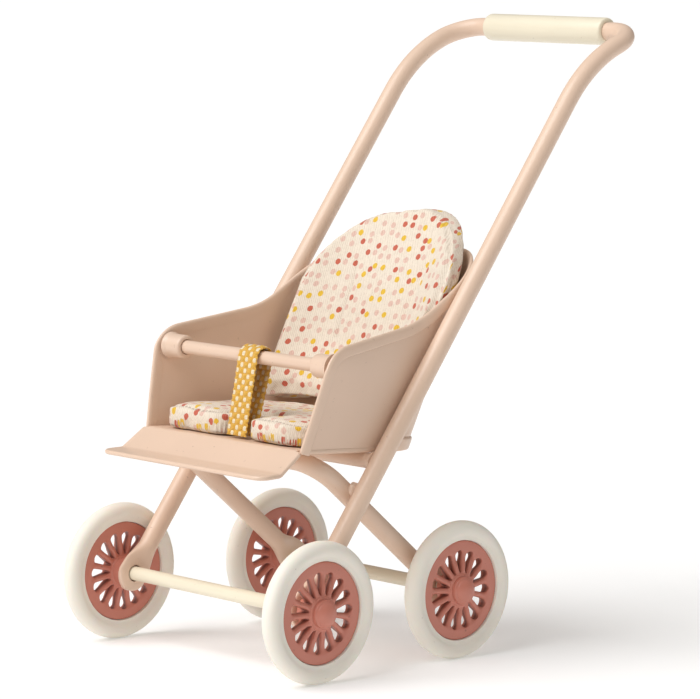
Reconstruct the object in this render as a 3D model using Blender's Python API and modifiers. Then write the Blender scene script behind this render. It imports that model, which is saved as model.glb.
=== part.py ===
"""Doll's stroller: a bent-tube frame, a pressed sheet-metal seat and four slotted wheels.

Metres, +Z up. -Y is the front (footrest), +X is the stroller's left-hand side as its doll sits.
The origin is on the floor under the middle of the outer box.
"""

import math

import bmesh
import bpy
from mathutils import Vector

MM = 0.001

# Clearances
FIT_GAP = 0.3 * MM
BEARING_CLEARANCE = 0.3 * MM

# Wheels and axles
WHEEL_DIAMETER = 30.5 * MM
WHEELBASE = 44.4 * MM
TYRE_DEPTH = 4.0 * MM
TYRE_WIDTH = 4.0 * MM
DISC_THICKNESS = 2.1 * MM
HUB_DIAMETER = 7.4 * MM
HUB_OUTBOARD = 1.7 * MM
HUB_INBOARD = 3.4 * MM
DISH = 0.5 * MM
SLOT_COUNT = 15
SLOT_INNER_RADIUS = 4.3 * MM
SLOT_RIM_WALL = 2.1 * MM
SLOT_OUTER_WIDTH = 1.9 * MM
SLOT_INNER_WIDTH = 0.7 * MM
CAP_DIAMETER = 6.2 * MM
CAP_HEIGHT = 1.8 * MM
AXLE_DIAMETER = 3.1 * MM
AXLE_GRIP_DEPTH = 0.7 * MM
FRONT_AXLE_PLAY = 0.5 * MM
REAR_AXLE_PLAY = 1.65 * MM

# Frame tubes
TUBE_DIAMETER = 4.2 * MM
HANDLE_SPACING = 55.9 * MM
HANDLE_LEAN = math.radians(35.6)
HANDLE_STRAIGHT = 130.9 * MM
HANDLE_BEND_RADIUS = 36.4 * MM
HANDLE_SWEEP = math.radians(67.7)
HANDLE_CORNER_RADIUS = 7.3 * MM
REAR_BAR_SETBACK = 6.45 * MM
REAR_CORNER_RADIUS = 7.5 * MM
PAD_RADIUS = 4.0 * MM
PAD_THICKNESS = 1.5 * MM
PAD_FLAT = 2.5 * MM
PAD_END = 7.5 * MM
GRIP_WALL = 0.75 * MM
GRIP_INSET = 2.0 * MM
GRIP_CHAMFER = 0.7 * MM
CROSS_BAR_DIAMETER = 3.4 * MM
WELD_RADIUS = 1.4 * MM
WELD_LIFT = 1.3 * MM

# Seat pan and footrest
SHEET = 0.6 * MM
SEAT_FRONT_HEIGHT = 47.9 * MM
SEAT_FRONT = -21.6 * MM
FLOOR_TILT = math.radians(2.7)
FOOTREST_RUN = 6.0 * MM
FOOTREST_DROP = 4.3 * MM
LIP_RUN = 5.6 * MM
LIP_DROP = 0.2 * MM
LIP_BEAD = 1.1 * MM
FOOTREST_CORNER = 2.5 * MM
FOOTREST_FLARE = 0.9 * MM
FOLD_RADIUS = 1.5 * MM

# Seat shell
HEM_WIDTH = 2.5 * MM
HEM_PROUD = 0.3 * MM
BACK_FOOT = 16.1 * MM
BACK_LEAN = math.radians(25.5)
TUB_CORNER_RADIUS = 10.5 * MM
SPLAY = 2.8 * MM
SPLAY_HEIGHT = 18.0 * MM
SPLAY_END = 12.0 * MM
SPLAY_LENGTH = 28.0 * MM
SIDE_HEIGHT = 21.7 * MM
SIDE_FRONT_LEAN = 5.3 * MM
SIDE_CORNER_RADIUS = 8.0 * MM
SIDE_TOP_RUN = 28.3 * MM
SIDE_TOP_RISE = 4.4 * MM
WING_RISE = 0.62
WING_FILLET = 25.0 * MM
REAR_HEM_START = 6.0 * MM
REAR_HEM_HEIGHT = 3.0 * MM

# Bumper bar
BAR_DIAMETER = 3.0 * MM
BAR_SETBACK = 8.0 * MM
BAR_HEIGHT = 17.9 * MM
SOCKET_DIAMETER = 5.2 * MM
SOCKET_LENGTH = 4.8 * MM
SOCKET_DEPTH = 3.6 * MM

# Rivets through the seat floor
RIVET_SPACING = 26.0 * MM
RIVET_SHANK = 1.4 * MM
RIVET_HEAD = 2.6 * MM
RIVET_HEAD_HEIGHT = 0.5 * MM
RIVET_BITE = 1.1 * MM

# Cushions and strap
SEAT_PAD_THICKNESS = 5.0 * MM
SEAT_PAD_FRONT = 1.3 * MM
SEAT_PAD_LENGTH = 33.0 * MM
SIDE_EASE = 0.9 * MM
NOTCH_EASE = 1.0 * MM
NOTCH_DEPTH = 9.5 * MM
NOTCH_CORNER = 2.5 * MM
SEAT_PAD_CORNER = 4.5 * MM
SOFT_EDGE = 1.2 * MM
BACK_PAD_THICKNESS = 5.6 * MM
BACK_PAD_TOP = 96.0 * MM
BACK_PAD_FOOT_WIDTH = 41.5 * MM
BACK_PAD_WIDTH = 45.6 * MM
BACK_PAD_SHIFT = 2.0 * MM
BACK_PAD_DOME = 18.0 * MM
BACK_PAD_CREST = 11.0 * MM
BACK_PAD_EASE = 0.7 * MM
WRAP_START = 9.0 * MM
WRAP_DEPTH = 5.0 * MM
STRAP_WIDTH = 6.2 * MM
STRAP_THICKNESS = 1.0 * MM
STRAP_CENTRE = 1.6 * MM
STRAP_FRONT_FOOT = 2.9 * MM
STRAP_REAR_FOOT = 5.9 * MM

# Mesh fineness
TUBE_RESOLUTION = 4
ARC_STEPS = 7
WHEEL_STEPS = 30
SMALL_STEPS = 16

WELD_DISTANCE = 0.001 * MM
LONG = 200 * MM

# Worked out from the sizes above
WHEEL_RADIUS = WHEEL_DIAMETER / 2
TUBE_RADIUS = TUBE_DIAMETER / 2
FRONT_AXLE_Y = -WHEELBASE / 2
REAR_AXLE_Y = WHEELBASE / 2
TYRE_BORE_RADIUS = WHEEL_RADIUS - TYRE_DEPTH
DISC_RADIUS = TYRE_BORE_RADIUS - FIT_GAP
GRIP_DIAMETER = TUBE_DIAMETER + 2 * (FIT_GAP + GRIP_WALL)
BORE_RADIUS = AXLE_DIAMETER / 2 + BEARING_CLEARANCE
REAR_SPACING = HANDLE_SPACING - 2 * (TUBE_DIAMETER + FIT_GAP)
FRONT_WHEEL_X = HANDLE_SPACING / 2 + PAD_THICKNESS / 2 + FRONT_AXLE_PLAY + HUB_INBOARD
REAR_WHEEL_X = REAR_SPACING / 2 + PAD_THICKNESS / 2 + REAR_AXLE_PLAY + HUB_INBOARD
TUB_HALF_WIDTH = HANDLE_SPACING / 2 - TUBE_RADIUS - FIT_GAP - HEM_PROUD - SHEET / 2


def floor_height(y):
    """Height of the seat pan's underside at a distance y behind the middle of the wheelbase."""
    return SEAT_FRONT_HEIGHT - math.tan(FLOOR_TILT) * (y - SEAT_FRONT)


def floor_top(y):
    return floor_height(y) + SHEET


def back_line(z):
    """Distance y of the middle of the back wall's sheet at height z."""
    return BACK_FOOT + math.tan(BACK_LEAN) * (z - SEAT_FRONT_HEIGHT)


def tub_side(y, z):
    """Half width of the tub to the middle of its sheet, splayed towards the front and the top."""
    up = min(max((z - SEAT_FRONT_HEIGHT) / SPLAY_HEIGHT, 0), 1)
    ahead = max((SPLAY_END - y) / SPLAY_LENGTH, 0)
    return TUB_HALF_WIDTH + SPLAY * up * ahead


REAR_BAR_Y = SEAT_FRONT + REAR_BAR_SETBACK
REAR_BAR_Z = floor_height(REAR_BAR_Y + TUBE_RADIUS) - FIT_GAP - TUBE_RADIUS
REAR_REACH = math.hypot(REAR_AXLE_Y - REAR_BAR_Y, REAR_BAR_Z - WHEEL_RADIUS)
REAR_LEG_LEAN = math.atan2(REAR_AXLE_Y - REAR_BAR_Y, REAR_BAR_Z - WHEEL_RADIUS)
CROSS_BAR_Z = floor_height(0) - FIT_GAP - CROSS_BAR_DIAMETER / 2
CROSS_BAR_Y = FRONT_AXLE_Y + (CROSS_BAR_Z - WHEEL_RADIUS) * math.tan(HANDLE_LEAN)
SEAT_PAD_LIFT = RIVET_HEAD_HEIGHT + 2 * FIT_GAP
SEAT_PAD_TOP = floor_top(0) + SEAT_PAD_LIFT + SEAT_PAD_THICKNESS
BACK_PAD_FOOT = SEAT_PAD_TOP + FIT_GAP + BACK_PAD_THICKNESS / 2 * math.sin(BACK_LEAN)
BAR_Y = SEAT_FRONT + BAR_SETBACK
BAR_Z = SEAT_FRONT_HEIGHT + BAR_HEIGHT


def fresh_scene():
    for item in list(bpy.data.objects):
        bpy.data.objects.remove(item, do_unlink=True)


def new_collection(name):
    made = bpy.data.collections.new(name)
    bpy.context.scene.collection.children.link(made)
    return made


def material(name, colour, roughness, metallic=0.0):
    made = bpy.data.materials.new(name)
    made.use_nodes = True
    shader = made.node_tree.nodes["Principled BSDF"]
    shader.inputs["Base Color"].default_value = (*colour, 1.0)
    shader.inputs["Roughness"].default_value = roughness
    shader.inputs["Metallic"].default_value = metallic
    return made


def evaluated_mesh(source, name):
    """The mesh of a curve or of an object with its modifiers, welded, with the source removed."""
    bpy.context.view_layer.update()
    graph = bpy.context.evaluated_depsgraph_get()
    mesh = bpy.data.meshes.new_from_object(source.evaluated_get(graph))
    mesh.name = name
    work = bmesh.new()
    work.from_mesh(mesh)
    bmesh.ops.remove_doubles(work, verts=work.verts, dist=WELD_DISTANCE)
    work.to_mesh(mesh)
    work.free()
    bpy.data.objects.remove(source, do_unlink=True)
    return mesh


def place(name, mesh, finish, parent, location=(0, 0, 0), rotation=(0, 0, 0)):
    """Put a finished piece in the stroller's collection."""
    piece = bpy.data.objects.new(name, mesh)
    PARTS.objects.link(piece)
    piece.parent = parent
    piece.location = location
    piece.rotation_euler = rotation
    if not mesh.materials:
        mesh.materials.append(finish)
    mesh.shade_smooth()
    mesh.set_sharp_from_angle(angle=math.radians(35))
    return piece


def cutter(name, mesh, parent=None, location=(0, 0, 0)):
    tool = bpy.data.objects.new(name, mesh)
    CUTTERS.objects.link(tool)
    tool.parent = parent
    tool.location = location
    tool.hide_render = True
    tool.display_type = "WIRE"
    return tool


def boolean(piece, tool, operation):
    change = piece.modifiers.new(tool.name, "BOOLEAN")
    change.solver = "EXACT"
    change.operation = operation
    change.object = tool


def arc(centre, radius, start, end, steps=ARC_STEPS):
    """Points of an arc in a plane, both ends included; angles in radians."""
    points = []
    for step in range(steps + 1):
        angle = start + (end - start) * step / steps
        points.append((centre[0] + radius * math.cos(angle), centre[1] + radius * math.sin(angle)))
    return points


def rounded(corners, radii, closed=True):
    """An outline with each corner rounded to its radius; a radius of 0 leaves it sharp."""
    points = []
    count = len(corners)
    for index, (corner, radius) in enumerate(zip(corners, radii)):
        at_end = not closed and index in (0, count - 1)
        if radius == 0 or at_end:
            points.append(tuple(corner))
            continue
        here = Vector(corner)
        before = (Vector(corners[index - 1]) - here).normalized()
        after = (Vector(corners[(index + 1) % count]) - here).normalized()
        half_angle = before.angle(after) / 2
        centre = here + (before + after).normalized() * radius / math.sin(half_angle)
        first = here + before * radius / math.tan(half_angle) - centre
        last = here + after * radius / math.tan(half_angle) - centre
        start = math.atan2(first.y, first.x)
        turn = math.atan2(first.x * last.y - first.y * last.x, first.dot(last))
        steps = max(2, round(ARC_STEPS * abs(turn) / (math.pi / 2)))
        points += arc(centre, radius, start, start + turn, steps)
    return points


def offset_path(points, distance):
    """An open path moved sideways to its left by a distance, with mitred corners."""
    moved = []
    for index, point in enumerate(points):
        here = Vector(point)
        ways = []
        if index > 0:
            ways.append((here - Vector(points[index - 1])).normalized())
        if index < len(points) - 1:
            ways.append((Vector(points[index + 1]) - here).normalized())
        along = sum(ways, Vector((0, 0))).normalized()
        left = Vector((-along.y, along.x))
        moved.append(tuple(here + left * distance / along.dot(ways[0])))
    return moved


def flat_mesh(name, outlines, thickness):
    """Outlines filled as flat plates, centred on their own plane."""
    curve = bpy.data.curves.new(name, "CURVE")
    curve.dimensions = "2D"
    curve.fill_mode = "BOTH"
    curve.extrude = thickness / 2
    curve.render_resolution_u = 0
    for outline in outlines:
        spline = curve.splines.new("POLY")
        spline.points.add(len(outline) - 1)
        for point, (x, y) in zip(spline.points, outline):
            point.co = (x, y, 0, 1)
        spline.use_cyclic_u = True
    source = bpy.data.objects.new(name, curve)
    PARTS.objects.link(source)
    return evaluated_mesh(source, name)


def side_mesh(name, outline, width, middle=0.0):
    """A plate whose outline is drawn in the side view (y, z), with its width along X."""
    mesh = flat_mesh(name, [outline], width)
    for vertex in mesh.vertices:
        y, z, x = vertex.co
        vertex.co = (x + middle, y, z)
    return mesh


def tube_mesh(name, points, radius, resolution=TUBE_RESOLUTION):
    curve = bpy.data.curves.new(name, "CURVE")
    curve.dimensions = "3D"
    curve.bevel_depth = radius
    curve.bevel_resolution = resolution
    curve.use_fill_caps = True
    curve.render_resolution_u = 0
    spline = curve.splines.new("POLY")
    spline.points.add(len(points) - 1)
    for point, place_at in zip(spline.points, points):
        point.co = (*place_at, 1)
    source = bpy.data.objects.new(name, curve)
    PARTS.objects.link(source)
    return evaluated_mesh(source, name)


def turned_mesh(name, profile, closed, steps):
    """A profile of (radius, height) points, down its outer side, turned about Z."""
    work = bmesh.new()
    corners = [work.verts.new((radius, 0, height)) for radius, height in profile]
    for first, second in zip(corners, corners[1:]):
        work.edges.new((first, second))
    if closed:
        work.edges.new((corners[-1], corners[0]))
    mesh = bpy.data.meshes.new(name)
    work.to_mesh(mesh)
    work.free()
    source = bpy.data.objects.new(name, mesh)
    PARTS.objects.link(source)
    screw = source.modifiers.new("turn", "SCREW")
    screw.axis = "Z"
    screw.angle = 2 * math.pi
    screw.steps = steps
    screw.render_steps = steps
    screw.use_merge_vertices = True
    screw.merge_threshold = WELD_DISTANCE
    screw.use_normal_calculate = False
    return evaluated_mesh(source, name)


def rod_mesh(name, radius, length, steps=SMALL_STEPS):
    """A round rod along Z with a small chamfer at each end."""
    half = length / 2
    chamfer = radius * 0.15
    profile = [
        (0, half),
        (radius - chamfer, half),
        (radius, half - chamfer),
        (radius, chamfer - half),
        (radius - chamfer, -half),
        (0, -half),
    ]
    return turned_mesh(name, profile, False, steps)


# Frame


def smooth_step(value):
    value = min(max(value, 0), 1)
    return value * value * (3 - 2 * value)


def pad_half_width(along):
    """Half width of a pressed leg end at a distance up the leg from its axle hole."""
    round_end = math.sqrt(max(PAD_RADIUS**2 - along**2, 0)) if along < PAD_FLAT else 0
    if along < PAD_FLAT / 2:
        return max(round_end, PAD_RADIUS * 0.2)
    widest = math.sqrt(PAD_RADIUS**2 - (PAD_FLAT / 2) ** 2)
    share = smooth_step((along - PAD_FLAT / 2) / (PAD_END - PAD_FLAT / 2))
    return widest + (TUBE_RADIUS - widest) * share


def pad_half_thickness(along):
    share = smooth_step((along - PAD_FLAT) / (PAD_END - PAD_FLAT))
    return PAD_THICKNESS / 2 + (TUBE_RADIUS - PAD_THICKNESS / 2) * share


def press_ends(mesh, spacing, axle_y, leg):
    """Flatten both leg ends of a bent tube into round pads about the axle."""
    across = Vector((0, leg.z, -leg.y))
    for vertex in mesh.vertices:
        side = math.copysign(spacing / 2, vertex.co.x)
        from_axle = vertex.co - Vector((side, axle_y, WHEEL_RADIUS))
        along = from_axle.dot(leg)
        if along > PAD_END:
            continue
        wide = from_axle.dot(across) * pad_half_width(along) / TUBE_RADIUS
        thick = from_axle.x * pad_half_thickness(along) / TUBE_RADIUS
        foot = Vector((side + thick, axle_y, WHEEL_RADIUS))
        vertex.co = foot + leg * along + across * wide


def pad_stations():
    """Distances up a leg from its axle at which the pressed end has a ring of points."""
    round_end = [-PAD_RADIUS * math.cos(math.radians(angle)) for angle in (0, 20, 40, 60, 80)]
    taper_steps = 6
    taper = [PAD_FLAT / 2 + (PAD_END - PAD_FLAT / 2) * n / taper_steps for n in range(taper_steps + 1)]
    return round_end + taper


def mirrored_path(half):
    """A path from the +X leg's foot to the middle, followed by its mirror image."""
    return half + [Vector((-point.x, point.y, point.z)) for point in reversed(half)]


def handle_path():
    leg = Vector((0, math.sin(HANDLE_LEAN), math.cos(HANDLE_LEAN)))
    foot = Vector((HANDLE_SPACING / 2, FRONT_AXLE_Y, WHEEL_RADIUS))
    path = [foot + leg * along for along in pad_stations()]
    bend_start = foot + leg * HANDLE_STRAIGHT
    centre = bend_start + Vector((0, math.cos(HANDLE_LEAN), -math.sin(HANDLE_LEAN))) * HANDLE_BEND_RADIUS
    for step in range(ARC_STEPS + 1):
        lean = HANDLE_LEAN + (HANDLE_SWEEP - HANDLE_LEAN) * step / ARC_STEPS
        out = Vector((0, -math.cos(lean), math.sin(lean)))
        path.append(centre + out * HANDLE_BEND_RADIUS)
    path += corner_path(path.pop(), HANDLE_SWEEP, HANDLE_CORNER_RADIUS)
    return leg, path


def corner_path(start, lean, radius):
    """A quarter turn from a leg of a given lean (from upright, towards +Y) to the bar along -X."""
    leg = Vector((0, math.sin(lean), math.cos(lean)))
    inward = Vector((-radius, 0, 0))
    points = []
    for step in range(ARC_STEPS + 1):
        angle = math.pi / 2 * step / ARC_STEPS
        points.append(start + inward * (1 - math.cos(angle)) + leg * radius * math.sin(angle))
    return points


def axle_hole_cutter(name, y, root):
    mesh = rod_mesh(name, BORE_RADIUS, LONG)
    tool = cutter(name, mesh, root, (0, y, WHEEL_RADIUS))
    tool.rotation_euler = (0, math.pi / 2, 0)
    return tool


def rivet_hole_cutter(name, y, root):
    """Two holes across a bar, open to its top."""
    radius = RIVET_SHANK / 2 + FIT_GAP
    depth = SHEET + 2 * FIT_GAP + RIVET_BITE
    top = floor_top(y) + LONG / 4
    bottom = floor_top(y) - depth
    work = bmesh.new()
    for side in (-1, 1):
        made = bmesh.ops.create_cone(
            work, cap_ends=True, segments=12, radius1=radius, radius2=radius, depth=top - bottom
        )
        shift = Vector((side * RIVET_SPACING / 2, y, (top + bottom) / 2))
        bmesh.ops.translate(work, verts=made["verts"], vec=shift)
    mesh = bpy.data.meshes.new(name)
    work.to_mesh(mesh)
    work.free()
    return cutter(name, mesh, root)


def build_handle(root):
    leg, half = handle_path()
    mesh = tube_mesh("handle_frame", mirrored_path(half), TUBE_RADIUS)
    press_ends(mesh, HANDLE_SPACING, FRONT_AXLE_Y, leg)
    frame = place("handle_frame", mesh, PAINT, root)
    boolean(frame, axle_hole_cutter("front_axle_holes", FRONT_AXLE_Y, root), "DIFFERENCE")
    return half[-1]


def build_grip(root, bar):
    half = HANDLE_SPACING / 2 - HANDLE_CORNER_RADIUS - GRIP_INSET
    outer = GRIP_DIAMETER / 2
    bore = TUBE_RADIUS + FIT_GAP
    profile = [
        (bore, half),
        (outer - GRIP_CHAMFER, half),
        (outer - GRIP_CHAMFER * 0.3, half - GRIP_CHAMFER * 0.3),
        (outer, half - GRIP_CHAMFER),
        (outer, GRIP_CHAMFER - half),
        (outer - GRIP_CHAMFER * 0.3, GRIP_CHAMFER * 0.3 - half),
        (outer - GRIP_CHAMFER, -half),
        (bore, -half),
    ]
    mesh = turned_mesh("handle_grip", profile, True, SMALL_STEPS)
    place("handle_grip", mesh, CREAM, root, (0, bar.y, bar.z), (0, math.pi / 2, 0))


def rear_leg_way():
    return Vector((0, -math.sin(REAR_LEG_LEAN), math.cos(REAR_LEG_LEAN)))


def build_rear_frame(root):
    leg = rear_leg_way()
    foot = Vector((REAR_SPACING / 2, REAR_AXLE_Y, WHEEL_RADIUS))
    half = [foot + leg * along for along in pad_stations()]
    corner = foot + leg * (REAR_REACH - REAR_CORNER_RADIUS)
    half += corner_path(corner, -REAR_LEG_LEAN, REAR_CORNER_RADIUS)
    mesh = tube_mesh("rear_leg_frame", mirrored_path(half), TUBE_RADIUS)
    press_ends(mesh, REAR_SPACING, REAR_AXLE_Y, leg)
    frame = place("rear_leg_frame", mesh, PAINT, root)
    boolean(frame, axle_hole_cutter("rear_axle_holes", REAR_AXLE_Y, root), "DIFFERENCE")
    boolean(frame, rivet_hole_cutter("front_rivet_holes", REAR_BAR_Y, root), "DIFFERENCE")


def build_cross_bar(root):
    """The bar under the seat, welded between the handle's legs."""
    half = HANDLE_SPACING / 2 - TUBE_RADIUS - FIT_GAP
    points = [Vector((-half, CROSS_BAR_Y, CROSS_BAR_Z)), Vector((half, CROSS_BAR_Y, CROSS_BAR_Z))]
    mesh = tube_mesh("seat_cross_bar", points, CROSS_BAR_DIAMETER / 2)
    bar = place("seat_cross_bar", mesh, PAINT, root)
    boolean(bar, rivet_hole_cutter("rear_rivet_holes", CROSS_BAR_Y, root), "DIFFERENCE")


def build_welds(root):
    """A bead in the upper corner of each place where a rear leg crosses a handle leg."""
    lean_sum = math.tan(HANDLE_LEAN) + math.tan(REAR_LEG_LEAN)
    crossing_z = WHEEL_RADIUS + WHEELBASE / lean_sum
    crossing_y = FRONT_AXLE_Y + (crossing_z - WHEEL_RADIUS) * math.tan(HANDLE_LEAN)
    handle_leg = Vector((0, math.sin(HANDLE_LEAN), math.cos(HANDLE_LEAN)))
    rear_leg = rear_leg_way()
    for name, side in (("right", -1), ("left", 1)):
        middle = side * (HANDLE_SPACING + REAR_SPACING) / 4
        lift = (handle_leg + rear_leg).normalized() * WELD_LIFT
        work = bmesh.new()
        bmesh.ops.create_icosphere(work, subdivisions=2, radius=WELD_RADIUS)
        mesh = bpy.data.meshes.new("weld_" + name)
        work.to_mesh(mesh)
        work.free()
        location = Vector((middle, crossing_y, crossing_z)) + lift
        bead = place("crossing_weld_" + name, mesh, PAINT, root, location)
        for label, x, leg in (
            ("handle_leg_", HANDLE_SPACING / 2, handle_leg),
            ("rear_leg_", REAR_SPACING / 2, rear_leg),
        ):
            centre = Vector((side * x, crossing_y, crossing_z))
            ends = [centre - leg * PAD_END, centre + leg * PAD_END]
            tool_mesh = tube_mesh(label + name, ends, TUBE_RADIUS + FIT_GAP)
            boolean(bead, cutter(label + name, tool_mesh, root), "DIFFERENCE")


# Wheels and axles


def slot_outline(index):
    """One tapering slot between two spokes, narrow at the hub and round at the rim."""
    outer = DISC_RADIUS - SLOT_RIM_WALL - SLOT_OUTER_WIDTH / 2
    angle = 2 * math.pi * index / SLOT_COUNT
    half_wide = SLOT_OUTER_WIDTH / 2
    half_narrow = SLOT_INNER_WIDTH / 2
    shape = [(SLOT_INNER_RADIUS, -half_narrow), (outer, -half_wide)]
    shape += [(outer + half_wide * 0.8, -half_wide * 0.6), (outer + half_wide * 0.8, half_wide * 0.6)]
    shape += [(outer, half_wide), (SLOT_INNER_RADIUS, half_narrow)]
    turn = Vector((math.cos(angle), math.sin(angle)))
    return [(r * turn.x - t * turn.y, r * turn.y + t * turn.x) for r, t in shape]


def disc_mesh():
    half = DISC_THICKNESS / 2
    hub = HUB_DIAMETER / 2
    flat_start = DISC_RADIUS - SLOT_RIM_WALL
    profile = [
        (BORE_RADIUS, HUB_OUTBOARD),
        (hub - DISH, HUB_OUTBOARD),
        (hub, half + DISH),
        (flat_start, half),
        (DISC_RADIUS, half),
        (DISC_RADIUS, -half),
        (flat_start, -half),
        (hub, -half - DISH),
        (hub - DISH, -HUB_INBOARD),
        (BORE_RADIUS, -HUB_INBOARD),
    ]
    mesh = turned_mesh("wheel_disc_blank", profile, True, WHEEL_STEPS)
    blank = place("wheel_disc_blank", mesh, ROSE, None)
    slots = flat_mesh("slots", [slot_outline(index) for index in range(SLOT_COUNT)], LONG)
    tool = cutter("wheel_slots", slots)
    boolean(blank, tool, "DIFFERENCE")
    return evaluated_mesh(blank, "wheel_disc")


def tyre_mesh():
    """A round section with a flat bore that sits on the disc."""
    reach = TYRE_DEPTH / 2
    centre = WHEEL_RADIUS - reach
    open_angle = math.radians(52)
    steps = 6
    profile = [(TYRE_BORE_RADIUS, TYRE_WIDTH / 2 * math.sin(math.pi - open_angle))]
    for step in range(steps + 1):
        angle = (math.pi - open_angle) * (1 - 2 * step / steps)
        radius = centre + reach * math.cos(angle)
        profile.append((radius, TYRE_WIDTH / 2 * math.sin(angle)))
    profile.append((TYRE_BORE_RADIUS, -TYRE_WIDTH / 2 * math.sin(math.pi - open_angle)))
    return turned_mesh("tyre", profile, True, WHEEL_STEPS)


def cap_mesh():
    """A domed cap with a blind bore for the axle's end, its seat at height 0."""
    radius = CAP_DIAMETER / 2
    rim = CAP_HEIGHT * 0.3
    dome = [
        (radius * math.sin(math.radians(angle)), rim + (CAP_HEIGHT - rim) * math.cos(math.radians(angle)))
        for angle in (0, 25, 45, 65, 82)
    ]
    bore = AXLE_DIAMETER / 2 + FIT_GAP
    inside = [(radius, rim), (radius, 0), (bore, 0), (bore, AXLE_GRIP_DEPTH + FIT_GAP)]
    inside.append((0, AXLE_GRIP_DEPTH + FIT_GAP))
    return turned_mesh("hub_cap", dome + inside, False, SMALL_STEPS)


def build_running_gear(root):
    disc = disc_mesh()
    tyre = tyre_mesh()
    cap = cap_mesh()
    for place_name, axle_y, wheel_x in (
        ("front", FRONT_AXLE_Y, FRONT_WHEEL_X),
        ("rear", REAR_AXLE_Y, REAR_WHEEL_X),
    ):
        line = bpy.data.objects.new(place_name + "_axle_line", None)
        PARTS.objects.link(line)
        line.parent = root
        line.location = (0, axle_y, WHEEL_RADIUS)
        cap_seat = wheel_x + HUB_OUTBOARD + FIT_GAP
        rod = rod_mesh(place_name + "_axle", AXLE_DIAMETER / 2, 2 * (cap_seat + AXLE_GRIP_DEPTH))
        place(place_name + "_axle", rod, CREAM, line, rotation=(0, math.pi / 2, 0))
        for side_name, side in (("right", -1), ("left", 1)):
            label = place_name + "_" + side_name
            turn = (0, side * math.pi / 2, 0)
            place("disc_" + label, disc, ROSE, line, (side * wheel_x, 0, 0), turn)
            place("tyre_" + label, tyre, RUBBER, line, (side * wheel_x, 0, 0), turn)
            place("hub_cap_" + label, cap, ROSE, line, (side * cap_seat, 0, 0), turn)


# Seat


def side_edges():
    """Corners of the tub's side view: foot of the front edge, top corner, top edge, wing."""
    foot = (SEAT_FRONT, SEAT_FRONT_HEIGHT)
    corner = (SEAT_FRONT + SIDE_FRONT_LEAN, SEAT_FRONT_HEIGHT + SIDE_HEIGHT)
    wing = (corner[0] + SIDE_TOP_RUN, corner[1] + SIDE_TOP_RISE)
    far = (wing[0] + LONG, wing[1] + LONG * WING_RISE)
    return [foot, corner, wing, far]


def tub_outline(inset, foot_drop):
    """Side view of the tub, its front and top edges moved in by an inset."""
    edges = offset_path(side_edges(), -inset)
    foot = Vector(edges[0])
    down = (foot - Vector(edges[1])).normalized() * foot_drop
    edges[0] = tuple(foot + down)
    radii = [0, SIDE_CORNER_RADIUS - inset, WING_FILLET - inset, 0]
    return rounded(edges, radii, closed=False)


def tub_surface(thickness, name):
    """The tub's side and back walls as one bent sheet, larger than the finished outline."""
    rows = 6
    low = SEAT_FRONT_HEIGHT - 6 * MM
    high = SEAT_FRONT_HEIGHT + 50 * MM
    work = bmesh.new()
    grid = []
    for row in range(rows + 1):
        z = low + (high - low) * row / rows
        back = back_line(z)
        turn_start = back - TUB_CORNER_RADIUS
        straight = [SEAT_FRONT - 6 * MM + (turn_start - SEAT_FRONT + 6 * MM) * n / 8 for n in range(8)]
        half = [(tub_side(y, z), y) for y in straight]
        turn_centre = (TUB_HALF_WIDTH - TUB_CORNER_RADIUS, turn_start)
        half += arc(turn_centre, TUB_CORNER_RADIUS, 0, math.pi / 2)
        half.append((0, back))
        full = half + [(-x, y) for x, y in reversed(half[:-1])]
        grid.append([work.verts.new((x, y, z)) for x, y in full])
    for lower, upper in zip(grid, grid[1:]):
        for n in range(len(lower) - 1):
            work.faces.new((lower[n], lower[n + 1], upper[n + 1], upper[n]))
    mesh = bpy.data.meshes.new(name)
    work.to_mesh(mesh)
    work.free()
    source = bpy.data.objects.new(name, mesh)
    PARTS.objects.link(source)
    wall = source.modifiers.new("wall", "SOLIDIFY")
    wall.thickness = thickness
    wall.offset = 0
    return evaluated_mesh(source, name)


def build_shell(root):
    """Side and back walls, with a folded hem along the front, the top and the rear foot."""
    shell = place("seat_shell", tub_surface(SHEET, "seat_shell"), PAINT, root)
    hem = cutter("hem_sheet", tub_surface(SHEET + 2 * HEM_PROUD, "hem_sheet"), root)
    inner = tub_outline(HEM_WIDTH, LONG / 4)
    hem_foot = floor_height(REAR_HEM_START) + REAR_HEM_HEIGHT
    rear_foot = hem_foot - math.tan(FLOOR_TILT) * LONG
    inner += [(LONG, rear_foot), (REAR_HEM_START, hem_foot), (REAR_HEM_START, -LONG / 4)]
    boolean(hem, cutter("hem_window", side_mesh("hem_window", inner, LONG), root), "DIFFERENCE")
    boolean(shell, hem, "UNION")
    outer = tub_outline(0, 0)
    outer.append((LONG, floor_height(LONG)))
    boolean(shell, cutter("tub_outline", side_mesh("tub_outline", outer, LONG), root), "INTERSECT")


def pan_profile():
    """Side view of the seat floor, the footrest slope and its lip, as the middle of the sheet."""
    rear = (BACK_FOOT + 10 * MM, floor_height(BACK_FOOT + 10 * MM) + SHEET / 2)
    fold = (SEAT_FRONT, SEAT_FRONT_HEIGHT + SHEET / 2)
    step = (fold[0] - FOOTREST_RUN, fold[1] - FOOTREST_DROP)
    lip = (step[0] - LIP_RUN, step[1] - LIP_DROP)
    return rounded([rear, fold, step, lip], [0, FOLD_RADIUS, FOLD_RADIUS, 0], closed=False)


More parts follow.
